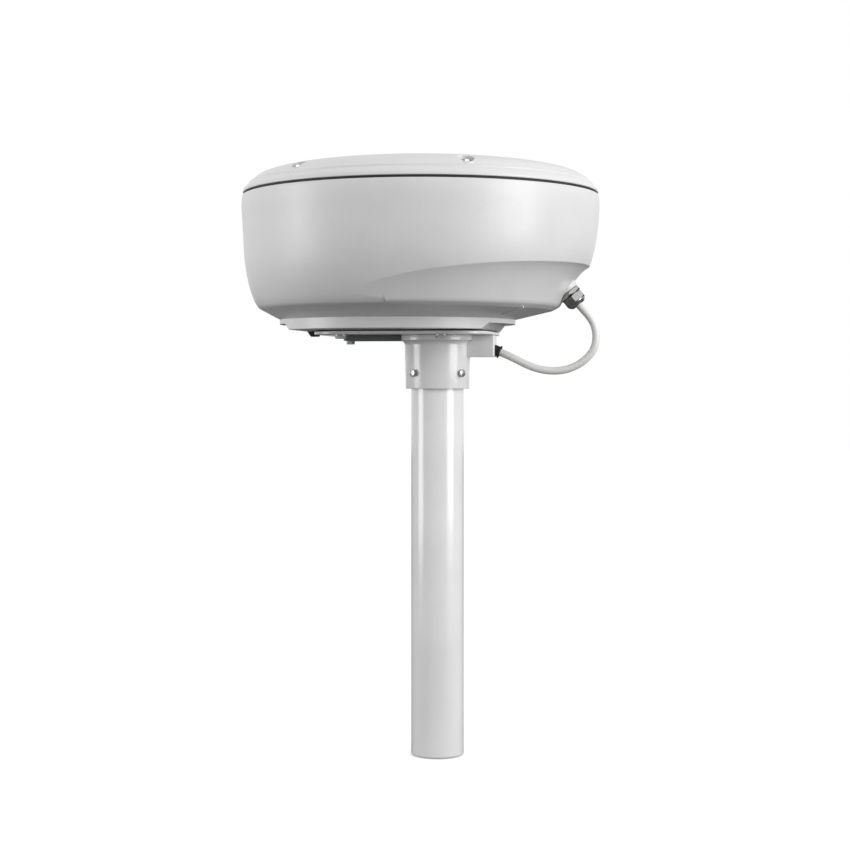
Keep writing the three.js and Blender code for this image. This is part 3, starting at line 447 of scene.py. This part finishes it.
CABLE_RADIUS = 5 * MM
CABLE_ROUTE = [
    (0.1887, 0.5957),
    (0.1926, 0.5911),
    (0.1979, 0.5852),
    (0.2033, 0.5784),
    (0.2077, 0.5706),
    (0.2103, 0.562),
    (0.211, 0.553),
    (0.2099, 0.5438),
    (0.2064, 0.535),
    (0.2002, 0.527),
    (0.192, 0.52),
    (0.1819, 0.5143),
    (0.1705, 0.5105),
    (0.158, 0.5089),
    (0.145, 0.5096),
    (0.132, 0.5124),
    (0.1195, 0.5171),
    (0.1075, 0.523),
    (0.0955, 0.5288),
    (0.0845, 0.5334),
]


def add_cable():
    """One loop from the gland's nut to the bush in the entry box."""
    line = [Vector((x, 0, z)) for x, z in spline(CABLE_ROUTE, 4)]
    columns = 32
    vertices = []
    for k, point in enumerate(line):
        along = (line[min(k + 1, len(line) - 1)] - line[max(k - 1, 0)]).normalized()
        side = Vector((0, 1, 0))
        up = along.cross(side)
        for j in range(columns):
            a = 2 * math.pi * j / columns
            vertices.append(point + CABLE_RADIUS * (math.cos(a) * side + math.sin(a) * up))
    faces = grid_faces(len(line), columns)
    faces.append(tuple(reversed(range(columns))))
    faces.append(tuple(range((len(line) - 1) * columns, len(line) * columns)))
    cable = dress(add_object("scanner_cable_sheath", vertices, faces, 50), "cable_white", ["scanner_cable"])


add_cable()

# ---- Fasteners ------------------------------------------------------------------------------


def hex_prism(name, across, z0, z1, chamfer_top=True, chamfer_bottom=False, columns=72):
    """A hexagonal prism whose ends are turned down to a circle, as on a nut or a bolt's head."""
    flat = across / 2
    circle = 0.95 * flat
    slope = math.tan(math.radians(30))
    rings = [[], [], [], [], [], []]
    for j in range(columns):
        a = 2 * math.pi * j / columns
        off = (a + math.pi / 6) % (math.pi / 3) - math.pi / 6
        radius = flat / math.cos(off)
        drop = (radius - circle) * slope
        low = z0 + (drop if chamfer_bottom else 0)
        high = z1 - (drop if chamfer_top else 0)
        levels = [(0, z0), (circle if chamfer_bottom else radius, z0), (radius, low)]
        levels += [(radius, high), (circle if chamfer_top else radius, z1), (0, z1)]
        for ring, (r, z) in zip(rings, levels):
            ring.append((r * math.cos(a), r * math.sin(a), z))
    vertices = [v for ring in rings for v in ring]
    return add_object(name, vertices, grid_faces(6, columns), 18)


def washer(name, radius, z0, z1):
    edge = 0.25 * MM
    points = [(0, z0), (radius, z0), (radius, z1), (0, z1)]
    return lathe(name, rounded_profile(points, [0, edge, edge, 0], 2), 64)


def bolt(name, across, head, shank_radius, shank_length, washer_radius=0.0, washer_height=0.0):
    """A bolt with its seat at z = 0, its head up +Z and its shank down -Z."""
    parts = [hex_prism("head", across, washer_height, washer_height + head)]
    if washer_radius:
        parts.append(washer("washer", washer_radius, 0, washer_height))
    tip = 0.6 * MM
    shank = [(0, -shank_length), (shank_radius - tip, -shank_length), (shank_radius, tip - shank_length)]
    parts.append(lathe("shank", [*shank, (shank_radius, 0.2 * MM), (0, 0.2 * MM)], 32))
    return joined(name, parts)


def add_fasteners():
    """Every bolt that shows, each on the line of its own node."""
    down, up = Vector((0, 0, -1)), Vector((0, 0, 1))
    for k in range(1, 5):
        node = f"foot_bolt_{k}"
        centre, top = middle(node), PLATE_LOW.z - 0.3 * MM
        piece = bolt(f"{node}_steel", 13 * MM, 4.1 * MM, 4 * MM, 20 * MM, 8.5 * MM, 1.4 * MM)
        piece.data.transform(facing((centre.x, centre.y, top), down))
        dress(piece, "stainless", [node])
    for k in range(1, 7):
        node = f"cover_bolt_{k}"
        centre, (_, high) = middle(node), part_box(node)
        piece = bolt(f"{node}_steel", 10 * MM, 4.4 * MM, 3 * MM, 36 * MM, 7.5 * MM, 1.2 * MM)
        piece.data.transform(facing((centre.x, centre.y, high.z - 5.6 * MM), up))
        dress(piece, "stainless", [node])
    for k in range(1, 5):
        node = f"collar_bolt_{k}"
        centre = middle(node)
        outward = Vector((centre.x, centre.y, 0)).normalized()
        seat = outward * ((HEAD_HIGH.x - HEAD_LOW.x) / 2 - 6.1 * MM) + Vector((0, 0, centre.z))
        piece = bolt(f"{node}_steel", 9 * MM, 3.6 * MM, 3 * MM, 12 * MM)
        piece.data.transform(facing(seat, outward))
        dress(piece, "stainless", [node])
    centre = middle("arm_bolt")
    piece = bolt("arm_bolt_steel", 10 * MM, 4.2 * MM, 3 * MM, 8.5 * MM)
    piece.data.transform(facing((centre.x, centre.y, ARM_LOW.z - 0.3 * MM), down))
    dress(piece, "stainless", ["arm_bolt"])


add_fasteners()

# ---- Pole, head, box, plate, arm and pad ----------------------------------------------------

COLLAR_TAPER = 1.75 * MM
COLLAR_RADIUS = POLE_RADIUS + 7.3 * MM
FLANGE_THICKNESS = 6.9 * MM
HEAD_RADIUS = (HEAD_HIGH.x - HEAD_LOW.x) / 2


def add_pole():
    outer, inner = POLE_RADIUS, POLE_RADIUS - 3 * MM
    low, high, edge = POLE_LOW.z, POLE_HIGH.z, 0.5 * MM
    middle_z = (low + high) / 2
    profile = [(inner, middle_z), (inner, low + edge), (inner + edge, low), (outer - edge, low)]
    profile += [(outer, low + edge), (outer, high - edge), (outer - edge, high), (inner, high)]
    profile.append((inner, middle_z))
    dress(lathe("pole_tube", profile, 160), "pole_paint", ["pole"])


def head_outline(gap):
    """The head's outside from its mouth to its top, grown by gap."""
    low, high = HEAD_LOW.z, HEAD_HIGH.z
    flange = high - FLANGE_THICKNESS
    fillet = 6 * MM
    top = COLLAR_RADIUS + COLLAR_TAPER * (flange - fillet - low) / (high - low)
    points = [(COLLAR_RADIUS + gap, low - gap)]
    for k in range(13):
        a = math.pi / 2 * k / 12
        reach = HEAD_RADIUS - top
        points.append((top + reach * (1 - math.cos(a)) + gap, flange - fillet + fillet * math.sin(a) - gap))
    points.append((HEAD_RADIUS + gap, high + gap))
    return points


def add_head():
    low, high = HEAD_LOW.z, HEAD_HIGH.z
    bore, socket_top = POLE_RADIUS + 0.3 * MM, POLE_HIGH.z + 0.3 * MM
    outline = head_outline(0)
    bore_top, cable_bore = high - 4 * MM, 24 * MM
    points = [(0, bore_top), (cable_bore, bore_top), (cable_bore, socket_top), (bore, socket_top)]
    points += [(bore, low), *outline, (0, high)]
    radii = [0, 0, 0, 0, 0.5 * MM, 0.9 * MM] + [0] * 12 + [0.5 * MM, 0.9 * MM, 0]
    casting = lathe("head_casting", rounded_profile(points, radii, 3), 160, smooth_angle=28)
    dress(casting, "white_paint", ["pole_head"])


def bush_line():
    """Where the bush's outer face is, and the way that the cable runs into it."""
    x, z = CABLE_ROUTE[-1]
    angle = math.radians(22.5)
    return Vector((x, 0, z)), Vector((-math.cos(angle), 0, math.sin(angle)))


def add_entry_box():
    half = (BOX_HIGH.y - BOX_LOW.y) / 2
    wall = 3 * MM
    outline = rounded_rectangle(0.03, BOX_HIGH.x, -half, half, 2.5 * MM, 6)
    body = slab("entry_box", outline, BOX_LOW.z, BOX_HIGH.z, 1.1 * MM, 3, 30)
    hollow = rounded_rectangle(0.02, BOX_HIGH.x - wall, -half + wall, half - wall, 1 * MM, 3)
    space = slab("hollow", hollow, BOX_LOW.z + wall, BOX_HIGH.z - wall, 0.5 * MM, 1)
    head_points = [(0, HEAD_LOW.z - 0.01), *head_outline(0.3 * MM), (0, HEAD_HIGH.z + 0.3 * MM)]
    head = lathe("head_space", head_points, 96)
    origin, direction = bush_line()
    hole = rod("bush_hole", 7.3 * MM, -0.02, 0.02, 48, facing(origin, direction))
    dress(boolean(body, [space, head, hole]), "white_paint", ["cable_entry_box"])
    gap, neck = 0.3 * MM, 7 * MM
    lip = 8.6 * MM
    step, end = gap + 1.6 * MM, gap + 9 * MM
    profile = [(0, gap), (lip, gap), (lip, step), (neck, step), (neck, end), (0, end)]
    rounding = [0, 0.7 * MM, 0.4 * MM, 0, 0.5 * MM, 0]
    bush = lathe("cable_bush_rubber", rounded_profile(profile, rounding, 4), 64, facing(origin, direction))
    dress(bush, "black_rubber", ["cable_bush"])


def add_plate_and_pad():
    corner = 45 * MM
    outline = rounded_rectangle(PLATE_LOW.x, PLATE_HIGH.x, PLATE_LOW.y, PLATE_HIGH.y, corner, 24)
    plate = slab("plate_steel", outline, PLATE_LOW.z, PLATE_HIGH.z, 0.8 * MM, 3)
    dress(plate, "white_paint", ["mounting_plate"])
    inset = PAD_LOW.x - PLATE_LOW.x
    outline = rounded_rectangle(PAD_LOW.x, PAD_HIGH.x, PAD_LOW.y, PAD_HIGH.y, corner - inset, 24)
    dress(slab("pad_rubber", outline, PAD_LOW.z, PAD_HIGH.z, 0.4 * MM, 2), "black_rubber", ["foot_pad"])


def add_arm():
    half = (ARM_HIGH.y - ARM_LOW.y) / 2
    front, corner = ARM_LOW.x, 5 * MM
    reach = HEAD_RADIUS + 0.3 * MM
    spread = math.degrees(math.asin(half / reach))
    outline = arc((front + corner, half - corner), corner, 90, 180, 8)
    outline += arc((front + corner, corner - half), corner, 180, 270, 8)
    outline += arc((0, 0), reach, 180 + spread, 180 - spread, 24)
    # The bar's dark grey-green finish is partly painted shade from under the plate and partly the bar's own tint.
    dress(slab("arm_bar", outline, ARM_LOW.z, ARM_HIGH.z, 0.7 * MM, 3), "grey_paint", ["support_arm"])


add_pole()
add_head()
add_entry_box()
add_plate_and_pad()
add_arm()

# ---- Radome bowl ----------------------------------------------------------------------------

COLUMNS = 480
FOOT_BOLTS = 4
COVER_BOLTS = 6
FOOT_HOLE = 4.3 * MM
COVER_HOLE = 3.3 * MM


def wall_radius(z):
    """The wall's radius about the dome's axis, from the belly's corner up to the seam."""
    points = [
        (DOME_RADIUS - BELLY_INSET, BELLY_TOP),
        (DOME_RADIUS - 16 * MM, BELLY_TOP + 10.5 * MM),
        (DOME_RADIUS - 9.2 * MM, BELLY_TOP + 32 * MM),
        (DOME_RADIUS - 4 * MM, BELLY_TOP + 63 * MM),
        (DOME_RADIUS - 1.3 * MM, BELLY_TOP + 111 * MM),
        (DOME_RADIUS, SEAM_Z - 14.7 * MM),
        (DOME_RADIUS - 0.8 * MM, SEAM_Z),
    ]
    curve = spline(points, 12)
    return np.interp(z, curve[:, 1], curve[:, 0])


def stack_reach(theta, z):
    """How far the uncut bowl reaches from the foot's axis, in the direction theta, at heights z."""
    belly = np.clip((z - FLANGE_TOP) / (BELLY_TOP - FLANGE_TOP), 0, 1)
    fall = np.clip((CENTRED_Z - z) / (CENTRED_Z - BELLY_TOP), 0, 1)
    belly_radius = DOME_RADIUS - BELLY_INSET + BELLY_SHIFT
    shift = BELLY_SHIFT * fall**2
    centre = np.where(z < BELLY_TOP, FOOT_OFFSET + belly * (BELLY_SHIFT - FOOT_OFFSET), shift)
    below = FLANGE_RADIUS + belly * (belly_radius - FLANGE_RADIUS)
    radius = np.where(z < BELLY_TOP, below, wall_radius(z) + shift)
    return reach_of_circle(theta, centre - FOOT_OFFSET, radius)


def reach_of_circle(theta, away, radius):
    """The distance in the direction theta to a circle whose centre is this far away in X."""
    return away * math.cos(theta) + np.sqrt(radius**2 - (away * math.sin(theta)) ** 2)


SCOOP_REACH = DOME_RADIUS - SCOOP_OFFSET


def scoop_curve():
    """The scoop's profile about its own axis, as [reach, z], from under the belly to beyond the wall."""
    a = np.array([SCOOP_REACH - 52 * MM, FOOT_Z + 31.8 * MM])
    b = np.array([SCOOP_REACH - 28 * MM, FOOT_Z + 80.8 * MM])
    c = np.array([SCOOP_REACH - 10 * MM, FOOT_Z + 85.8 * MM])
    t = np.linspace(0, 1, 60)[:, None]
    curve = (1 - t) ** 2 * a + 2 * t * (1 - t) * b + t**2 * c
    foot = np.array([SCOOP_REACH - 66 * MM, FOOT_Z + 24.3 * MM])
    line = np.vstack([foot, curve, c + np.array([0.06, 0.06 * 0.34])])
    line = softened(resampled(line, 400), 60)
    return np.vstack([foot - np.array([0, 0.03]), line])


def resampled(points, count, tight_start=False, tight_end=False):
    """Points at even steps along a line, closer together at the ends that are tight."""
    steps = np.linalg.norm(np.diff(points, axis=0), axis=1)
    along = np.concatenate([[0], np.cumsum(steps)])
    t = np.linspace(0, 1, count)
    if tight_start and tight_end:
        t = 0.5 - 0.5 * np.cos(math.pi * t)
    elif tight_start:
        t = 1 - np.cos(math.pi / 2 * t)
    elif tight_end:
        t = np.sin(math.pi / 2 * t)
    s = t * along[-1]
    return np.stack([np.interp(s, along, points[:, k]) for k in (0, 1)], 1)


def softened(points, passes):
    """A line with its corners eased, its two ends kept."""
    for _ in range(passes):
        points[1:-1] = 0.25 * points[:-2] + 0.5 * points[1:-1] + 0.25 * points[2:]
    return points


def meridian(theta, tip, scoop):
    """The bowl's outside from the flange's top to the seam in one direction, as three stretches:
    below the scoop, in it and above it. Past the scoop's tip the middle one is a short stretch of wall."""
    belly = np.linspace(FLANGE_TOP, BELLY_TOP, 90, endpoint=False)
    z = np.concatenate([belly, np.linspace(BELLY_TOP, SEAM_Z, 330)])
    line = np.stack([stack_reach(theta, z), z], 1)
    line = softened(resampled(line, 360), 40)
    away = SCOOP_OFFSET - FOOT_OFFSET
    limit = reach_of_circle(theta, away, np.interp(line[:, 1], scoop[:, 1], scoop[:, 0]))
    inside = np.nonzero(line[:, 0] > limit)[0]
    if len(inside) > 4:
        first, last = inside[0], inside[-1]
        low_z, high_z = line[first, 1], line[last, 1]
        span = (scoop[:, 1] > low_z) & (scoop[:, 1] < high_z)
        radius = np.interp([low_z, high_z], scoop[:, 1], scoop[:, 0])
        cut = np.vstack([[radius[0], low_z], scoop[span], [radius[1], high_z]])
        cut[:, 0] = reach_of_circle(theta, away, cut[:, 0])
    else:
        first = int(np.searchsorted(line[:, 1], tip)) - 2
        last = first + 4
        cut = line[first : last + 1]
    below = np.vstack([line[:first], cut[:1]])
    above = np.vstack([cut[-1:], line[last + 1 :]])
    return below, cut, above


def scoop_tip(scoop):
    """The height at which the scoop runs out."""
    for degrees in range(80, 180):
        z = np.linspace(BELLY_TOP - 0.01, SEAM_Z, 900)
        theta = math.radians(degrees)
        limit = reach_of_circle(theta, SCOOP_OFFSET - FOOT_OFFSET, np.interp(z, scoop[:, 1], scoop[:, 0]))
        inside = stack_reach(theta, z) > limit
        if not inside.any():
            break
        height = z[inside].mean()
    return height


def eased_edge(rows, index, share=0.35):
    """Pulls one row in towards its neighbours, so that an edge is slightly round."""
    rows[index] = (1 - share) * rows[index] + share / 2 * (rows[index - 1] + rows[index + 1])


def bowl_surface():
    scoop = scoop_curve()
    tip = scoop_tip(scoop)
    edge = 1.1 * MM
    foot = [(0, FOOT_Z), (0.05, FOOT_Z), (0.1, FOOT_Z), (FLANGE_RADIUS, FOOT_Z)]
    foot += [(FLANGE_RADIUS, FLANGE_TOP), (FLANGE_RADIUS - 2 * MM, FLANGE_TOP)]
    foot = rounded_profile(foot, [0, 0, 0, edge, edge, 0], 4)[:-1]
    columns = []
    inner_columns = []
    for j in range(COLUMNS):
        theta = 2 * math.pi * j / COLUMNS - math.pi
        below, cut, above = meridian(theta, tip, scoop)
        parts = [
            resampled(below, 44, tight_end=True),
            resampled(cut, 34, tight_start=True, tight_end=True)[1:],
            resampled(above, 60, tight_start=True)[1:],
        ]
        line = np.vstack(parts)
        eased_edge(line, 43, 0.5)
        eased_edge(line, 76, 0.5)
        rim, height = line[-1]
        bend = 1.2 * MM
        kept = line[1:][line[1:, 1] < height - bend]
        last_run = np.array([kept[-1], [rim, height - bend]])
        kept = np.vstack([kept, resampled(last_run, len(line) - len(kept))[1:]])
        corner = rounded_corner((rim, height - 0.01), (rim, height), (rim - 0.01, height), bend, 4)
        columns.append((theta, np.vstack([np.array(foot), kept, corner[1:]])))
        inner_columns.append(inner_line(np.vstack([below, cut[1:], above[1:]])))
    vertices = []
    count = len(columns[0][1]) + len(inner_columns[0])
    for k in range(count):
        for j, (theta, line) in enumerate(columns):
            reach, z = line[k] if k < len(line) else inner_columns[j][k - len(line)]
            vertices.append((FOOT.x + reach * math.cos(theta), reach * math.sin(theta), z))
    return add_object("radome_bowl", vertices, grid_faces(count, COLUMNS), 30)


def inner_line(outer):
    """The bowl's inside in one direction, from the seam's rim down to the middle of the floor."""
    line = resampled(outer, 30)
    along = np.gradient(line, axis=0)
    along /= np.linalg.norm(along, axis=1)[:, None]
    offset = line + SHELL * np.stack([-along[:, 1], along[:, 0]], 1)
    floor = FOOT_Z + 5 * MM
    offset[:, 1] = np.clip(offset[:, 1], FOOT_Z + FOOT_CUT_HEIGHT + SHELL, SEAM_Z - 2 * MM)
    offset[-1] = [outer[-1, 0] - SHELL, SEAM_Z]
    down = offset[::-1]
    start = down[-1, 0]
    ledge = FOOT_Z + FOOT_CUT_HEIGHT + SHELL
    return np.vstack([down, [[start - 6 * MM, ledge], [0.12, ledge], [0.118, floor], [0, floor]]])


def gland_frame():
    """The gland's seat and the way that it points."""
    tilt = math.radians(50)
    seat = Vector((DOME.x + DOME_RADIUS - 40 * MM, 0, FOOT_Z + 49.8 * MM))
    return seat, Vector((math.cos(tilt), 0, -math.sin(tilt)))


def belly_rib():
    """The thin rib under the belly, from the flange to the scoop's lower edge."""
    rear = BELLY_SHIFT + DOME_RADIUS - BELLY_INSET + BELLY_SHIFT
    run = rear - FOOT_OFFSET - FLANGE_RADIUS
    slope = math.atan((BELLY_TOP - FLANGE_TOP) / run)
    outline = rounded_rectangle(18 * MM, run - 10 * MM, -1.2 * MM, 1.2 * MM, 1.1 * MM, 6)
    rib = slab("belly_rib", outline, -1.3 * MM, 2.5 * MM, 0.5 * MM, 2)
    place = Matrix.Translation(FOOT + Vector((0, 0, FLANGE_TOP))) @ Matrix.Rotation(math.radians(-30), 4, "Z")
    place = place @ Matrix.Translation((FLANGE_RADIUS, 0, 0)) @ Matrix.Rotation(-slope, 4, "Y")
    rib.data.transform(place)
    return rib


def upright_at(centre):
    """The move that takes a shape made on the Z axis to a bolt's place in plan."""
    return Matrix.Translation((centre.x, centre.y, 0))


def add_bowl():
    bowl = bowl_surface()
    seat, out = gland_frame()
    place = facing(seat, out)
    depth = 12 * MM
    edge = 1.4 * MM
    radius = 15.5 * MM
    profile = [(0, -depth), (radius + 1.5 * MM, -depth), (radius, -edge), (radius - edge, 0), (0, 0)]
    boss = lathe("gland_boss", rounded_profile(profile, [0, 0, 0.6 * MM, 0.6 * MM, 0], 3), 96, place)
    boolean(bowl, [boss, belly_rib(), *bowl_bosses()], "UNION", 30)
    tools = [rod("spot_face", 17.6 * MM, 0, 40 * MM, 96, place)]
    tools.append(rod("gland_bore", 8.3 * MM, -40 * MM, MM, 48, place))
    for angle in (0, 180):
        tools.append(foot_cut(angle))
    for k in range(1, FOOT_BOLTS + 1):
        at = upright_at(middle(f"foot_bolt_{k}"))
        tools.append(rod("bolt_hole", FOOT_HOLE, FOOT_Z - MM, FOOT_Z + 15.5 * MM, 32, at))
    for k in range(1, COVER_BOLTS + 1):
        at = upright_at(middle(f"cover_bolt_{k}"))
        tools.append(rod("bolt_hole", COVER_HOLE, SEAM_Z - 22 * MM, SEAM_Z + MM, 32, at))
    at = upright_at(middle("drain_plug"))
    tools.append(rod("drain_hole", FOOT_HOLE, FOOT_Z - MM, FOOT_Z + 8 * MM, 32, at))
    dress(boolean(bowl, tools, "DIFFERENCE", 30), "radome_white", ["lower_housing"])


def foot_cut(angle):
    """A block that takes the lower corner off one end of the foot."""
    start, height, far = FOOT_CUT_X, FOOT_CUT_HEIGHT, 0.2
    section = [(start - 2 * MM, -2 * MM), (start, 0), (start + height, height), (far, height)]
    section.append((far, -2 * MM))
    vertices = [(x, y, z) for y in (-far, far) for x, z in section]
    faces = [(0, 1, 2, 3, 4), (9, 8, 7, 6, 5)]
    faces += [(k, (k + 1) % 5, (k + 1) % 5 + 5, k + 5) for k in range(5)]
    block = add_object("foot_cut", vertices, faces)
    turn = Matrix.Rotation(math.radians(angle), 4, "Z")
    block.data.transform(Matrix.Translation(FOOT + Vector((0, 0, FOOT_Z))) @ turn)
    return block


def bowl_bosses():
    """The posts inside the bowl that take the foot bolts and the cover bolts."""
    bosses = []
    for k in range(1, FOOT_BOLTS + 1):
        at = upright_at(middle(f"foot_bolt_{k}"))
        bosses.append(rod("boss", 9 * MM, FOOT_Z + 3 * MM, FOOT_Z + 19 * MM, 32, at))
    for k in range(1, COVER_BOLTS + 1):
        centre = middle(f"cover_bolt_{k}")
        outward = Vector((centre.x - DOME.x, centre.y, 0))
        turn = Matrix.Rotation(math.atan2(outward.y, outward.x), 4, "Z")
        at = upright_at(centre) @ turn
        low, high = SEAM_Z - 28 * MM, SEAM_Z - 0.05 * MM
        bosses.append(lathe("boss", [(0, low - 10 * MM), (8 * MM, low), (8 * MM, high), (0, high)], 32, at))
        web = [(0, -4 * MM), (DOME_RADIUS - 5.5 * MM - outward.length, -4 * MM)]
        web += [(x, -y) for x, y in reversed(web)]
        bosses.append(slab("web", web, low, high, 0.3 * MM, 1))
        bosses[-1].data.transform(at)
    return bosses


add_bowl()

# ---- Cover, gasket, gland and drain ---------------------------------------------------------


def cover_profile():
    """The cover's outside from its lower edge, over the crease at its shoulder, to its top."""
    low, high = COVER_LOW.z, COVER_HIGH.z
    crown_height = high - low
    crown = spline(
        [
            (DOME_RADIUS - 10.3 * MM, low + 13.6 * MM),
            (DOME_RADIUS - 26 * MM, low + 24.4 * MM),
            (DOME_RADIUS - 58 * MM, low + 0.675 * crown_height),
            (110 * MM, high - 7 * MM),
            (40 * MM, high - 1.6 * MM),
            (0, high),
        ],
        14,
    )
    rim = [
        (DOME_RADIUS - 1.5 * MM, low),
        (DOME_RADIUS - 2.6 * MM, low + 4.5 * MM),
        (DOME_RADIUS - 6 * MM, low + 8.5 * MM),
        (DOME_RADIUS - 9.3 * MM, low + 11 * MM),
    ]
    groove = [(DOME_RADIUS - 10 * MM, low + 11.6 * MM), (DOME_RADIUS - 10.4 * MM, low + 12.8 * MM)]
    return [tuple(p) for p in np.vstack([spline(rim, 6), groove, crown])]


def add_cover():
    outline = cover_profile()
    low = COVER_LOW.z
    wall = 4 * MM
    scale = 1 - wall / DOME_RADIUS
    inside = [(r * scale - MM, z - wall) for r, z in outline[::3] if z - wall > low + MM]
    inside[-1] = (0, inside[-1][1])
    rim = inside[0][0]
    profile = [*reversed(inside), (rim, low + 0.4 * MM), (rim + 0.4 * MM, low)]
    edge, bend = outline[0][0], 1.1 * MM
    profile += rounded_corner((edge - 0.01, low), (edge, low), (edge, low + 0.01), bend, 4)
    profile += [p for p in outline if p[1] > low + bend]
    cover = lathe("radome_cover", profile, COLUMNS, Matrix.Translation(DOME), 24)
    floor = COVER_HIGH.z - 32 * MM
    radius = 11 * MM
    posts, pockets, holes = [], [], []
    for k in range(1, COVER_BOLTS + 1):
        place = upright_at(middle(f"cover_bolt_{k}"))
        posts.append(rod("post", radius + 3 * MM, low + 0.2 * MM, floor + 2 * MM, 48, place))
        points = [(0, floor), (radius, floor), (radius, floor + 20 * MM), (0, floor + 20 * MM)]
        pockets.append(lathe("pocket", rounded_profile(points, [0, 1.2 * MM, 0, 0], 4), 64, place))
        holes.append(rod("hole", COVER_HOLE, low - MM, floor + MM, 32, place))
    boolean(cover, posts, "UNION", 24)
    dress(boolean(cover, [*pockets, *holes], "DIFFERENCE", 24), "radome_white", ["top_cover"])
    outer, inner = GASKET_HIGH.x - DOME.x, DOME_RADIUS - 12 * MM
    z0, z1 = GASKET_LOW.z, GASKET_HIGH.z
    mid = (z0 + z1) / 2
    edge = outer - 0.3 * MM
    points = [(inner, mid), (inner, z0), (edge, z0), (outer, mid), (edge, z1), (inner, z1), (inner, mid)]
    gasket = lathe("seam_gasket", points, COLUMNS, Matrix.Translation(DOME))
    dress(gasket, "black_rubber", ["cover_gasket"])


def add_gland():
    seat, out = gland_frame()
    place = facing(seat, out)
    gap, bore = 0.3 * MM, CABLE_RADIUS + 0.3 * MM
    collar = hex_prism("gland_collar", 29 * MM, gap, 6 * MM, True, True)
    thread = rod("gland_thread", 8 * MM, -20 * MM, MM, 48)
    body = boolean(collar, [thread], "UNION")
    boolean(body, [rod("bore", bore, -60 * MM, 60 * MM, 48)])
    body.name = "gland_body_metal"
    body.data.transform(place)
    dress(body, "nickel", ["gland_body"])
    start, end = 6.3 * MM, 21 * MM
    nut = hex_prism("gland_nut_metal", 27 * MM, start, end - 4 * MM, True, True)
    flat = 13 * MM
    foot, bevel = start + 3 * MM, 3.5 * MM
    crown = [(0, foot), (flat, foot), (flat, end - bevel), (flat - bevel, end), (0, end)]
    boolean(nut, [lathe("crown", rounded_profile(crown, [0, 0, MM, 0.8 * MM, 0], 4), 64)], "UNION")
    boolean(nut, [rod("bore", bore, -MM, end - 0.9 * MM, 48)])
    nut.data.transform(place)
    dress(nut, "nickel", ["gland_nut"])


def add_drain():
    centre = middle("drain_plug")
    points = [(0, -7.2 * MM), (5.8 * MM, -7.2 * MM), (10.5 * MM, -0.3 * MM), (0, -0.3 * MM)]
    plug = lathe("plug_head", rounded_profile(points, [0, 0.8 * MM, 0.5 * MM, 0], 3), 64)
    stem = rod("stem", 4 * MM, -MM, 4.5 * MM, 32)
    piece = joined("drain_plug_rubber", [plug, stem])
    piece.data.transform(Matrix.Translation((centre.x, centre.y, FOOT_Z)))
    dress(piece, "black_rubber", ["drain_plug"])


add_cover()
add_gland()
add_drain()

# ---- Nodes that keep their CAD shape ----------------------------------------------------------


def dress_kept_nodes():
    for row in record["subparts"]:
        node = frame["nodes"][row["node"]]
        node.data.materials.clear()
        node.data.materials.append(MATERIALS[row["material_slot"]])


dress_kept_nodes()

# ---- Floor and light --------------------------------------------------------------------------


def add_floor():
    """White to the camera, and darker to the light that it throws back up."""
    floor_radius = 9.0
    floor = lathe("floor", [(0, -0.002), (floor_radius, -0.002)], 96)
    n = Nodes("floor")
    n.to("Base Color", n.mixed(n.ranged(n.noise(3), 0, 1), (0.88, 0.88, 0.88), (0.92, 0.92, 0.92)))
    n.set(Roughness=0.9, Emission_Color=(1, 1, 1, 1), Emission_Strength=0.3)
    thrown = n.add("ShaderNodeBsdfDiffuse")
    thrown.inputs["Color"].default_value = (0.1, 0.1, 0.1, 1)
    seen = n.add("ShaderNodeLightPath").outputs["Is Camera Ray"]
    blend = n.add("ShaderNodeMixShader")
    n.link(seen, blend.inputs[0])
    n.link(thrown.outputs[0], blend.inputs[1])
    n.link(n.shader.outputs[0], blend.inputs[2])
    n.link(blend.outputs[0], n.tree.nodes["Material Output"].inputs["Surface"])
    floor.data.materials.append(n.material)


def add_light(name, place, target, size, power, height=None):
    data = bpy.data.lights.new(name, "AREA")
    data.shape = "RECTANGLE"
    data.size = size
    data.size_y = height or size
    data.energy = power
    light = bpy.data.objects.new(name, data)
    light.location = place
    aim = Vector(target) - Vector(place)
    light.rotation_euler = aim.to_track_quat("-Z", "Y").to_euler()
    bpy.context.scene.collection.objects.link(light)


def add_world():
    world = bpy.data.worlds.new("studio")
    bpy.context.scene.world = world
    world.use_nodes = True
    tree = world.node_tree
    background = tree.nodes["Background"]
    background.inputs["Color"].default_value = (1, 1, 1, 1)
    background.inputs["Strength"].default_value = 0.84
    seen = tree.nodes.new("ShaderNodeBackground")
    seen.inputs["Color"].default_value = (1, 1, 1, 1)
    path = tree.nodes.new("ShaderNodeLightPath")
    blend = tree.nodes.new("ShaderNodeMixShader")
    tree.links.new(path.outputs["Is Camera Ray"], blend.inputs[0])
    tree.links.new(background.outputs[0], blend.inputs[1])
    tree.links.new(seen.outputs[0], blend.inputs[2])
    tree.links.new(blend.outputs[0], tree.nodes["World Output"].inputs["Surface"])


def around_view(azimuth, distance, height):
    """A place at an azimuth to the right of the camera's, seen from the dome's axis."""
    turn = VIEW_AZIMUTH + math.radians(azimuth)
    return DOME + Vector((distance * math.sin(turn), -distance * math.cos(turn), height))


add_floor()
add_world()
CENTRE = DOME + Vector((0, 0, 0.6))
add_light("right_softbox", around_view(58, 2.5, 1.0), CENTRE, 1.4, 47, 1.9)
add_light("left_softbox", around_view(-78, 2.5, 0.5), CENTRE, 1.1, 31, 1.8)
bpy.context.scene.view_settings.view_transform = "Standard"
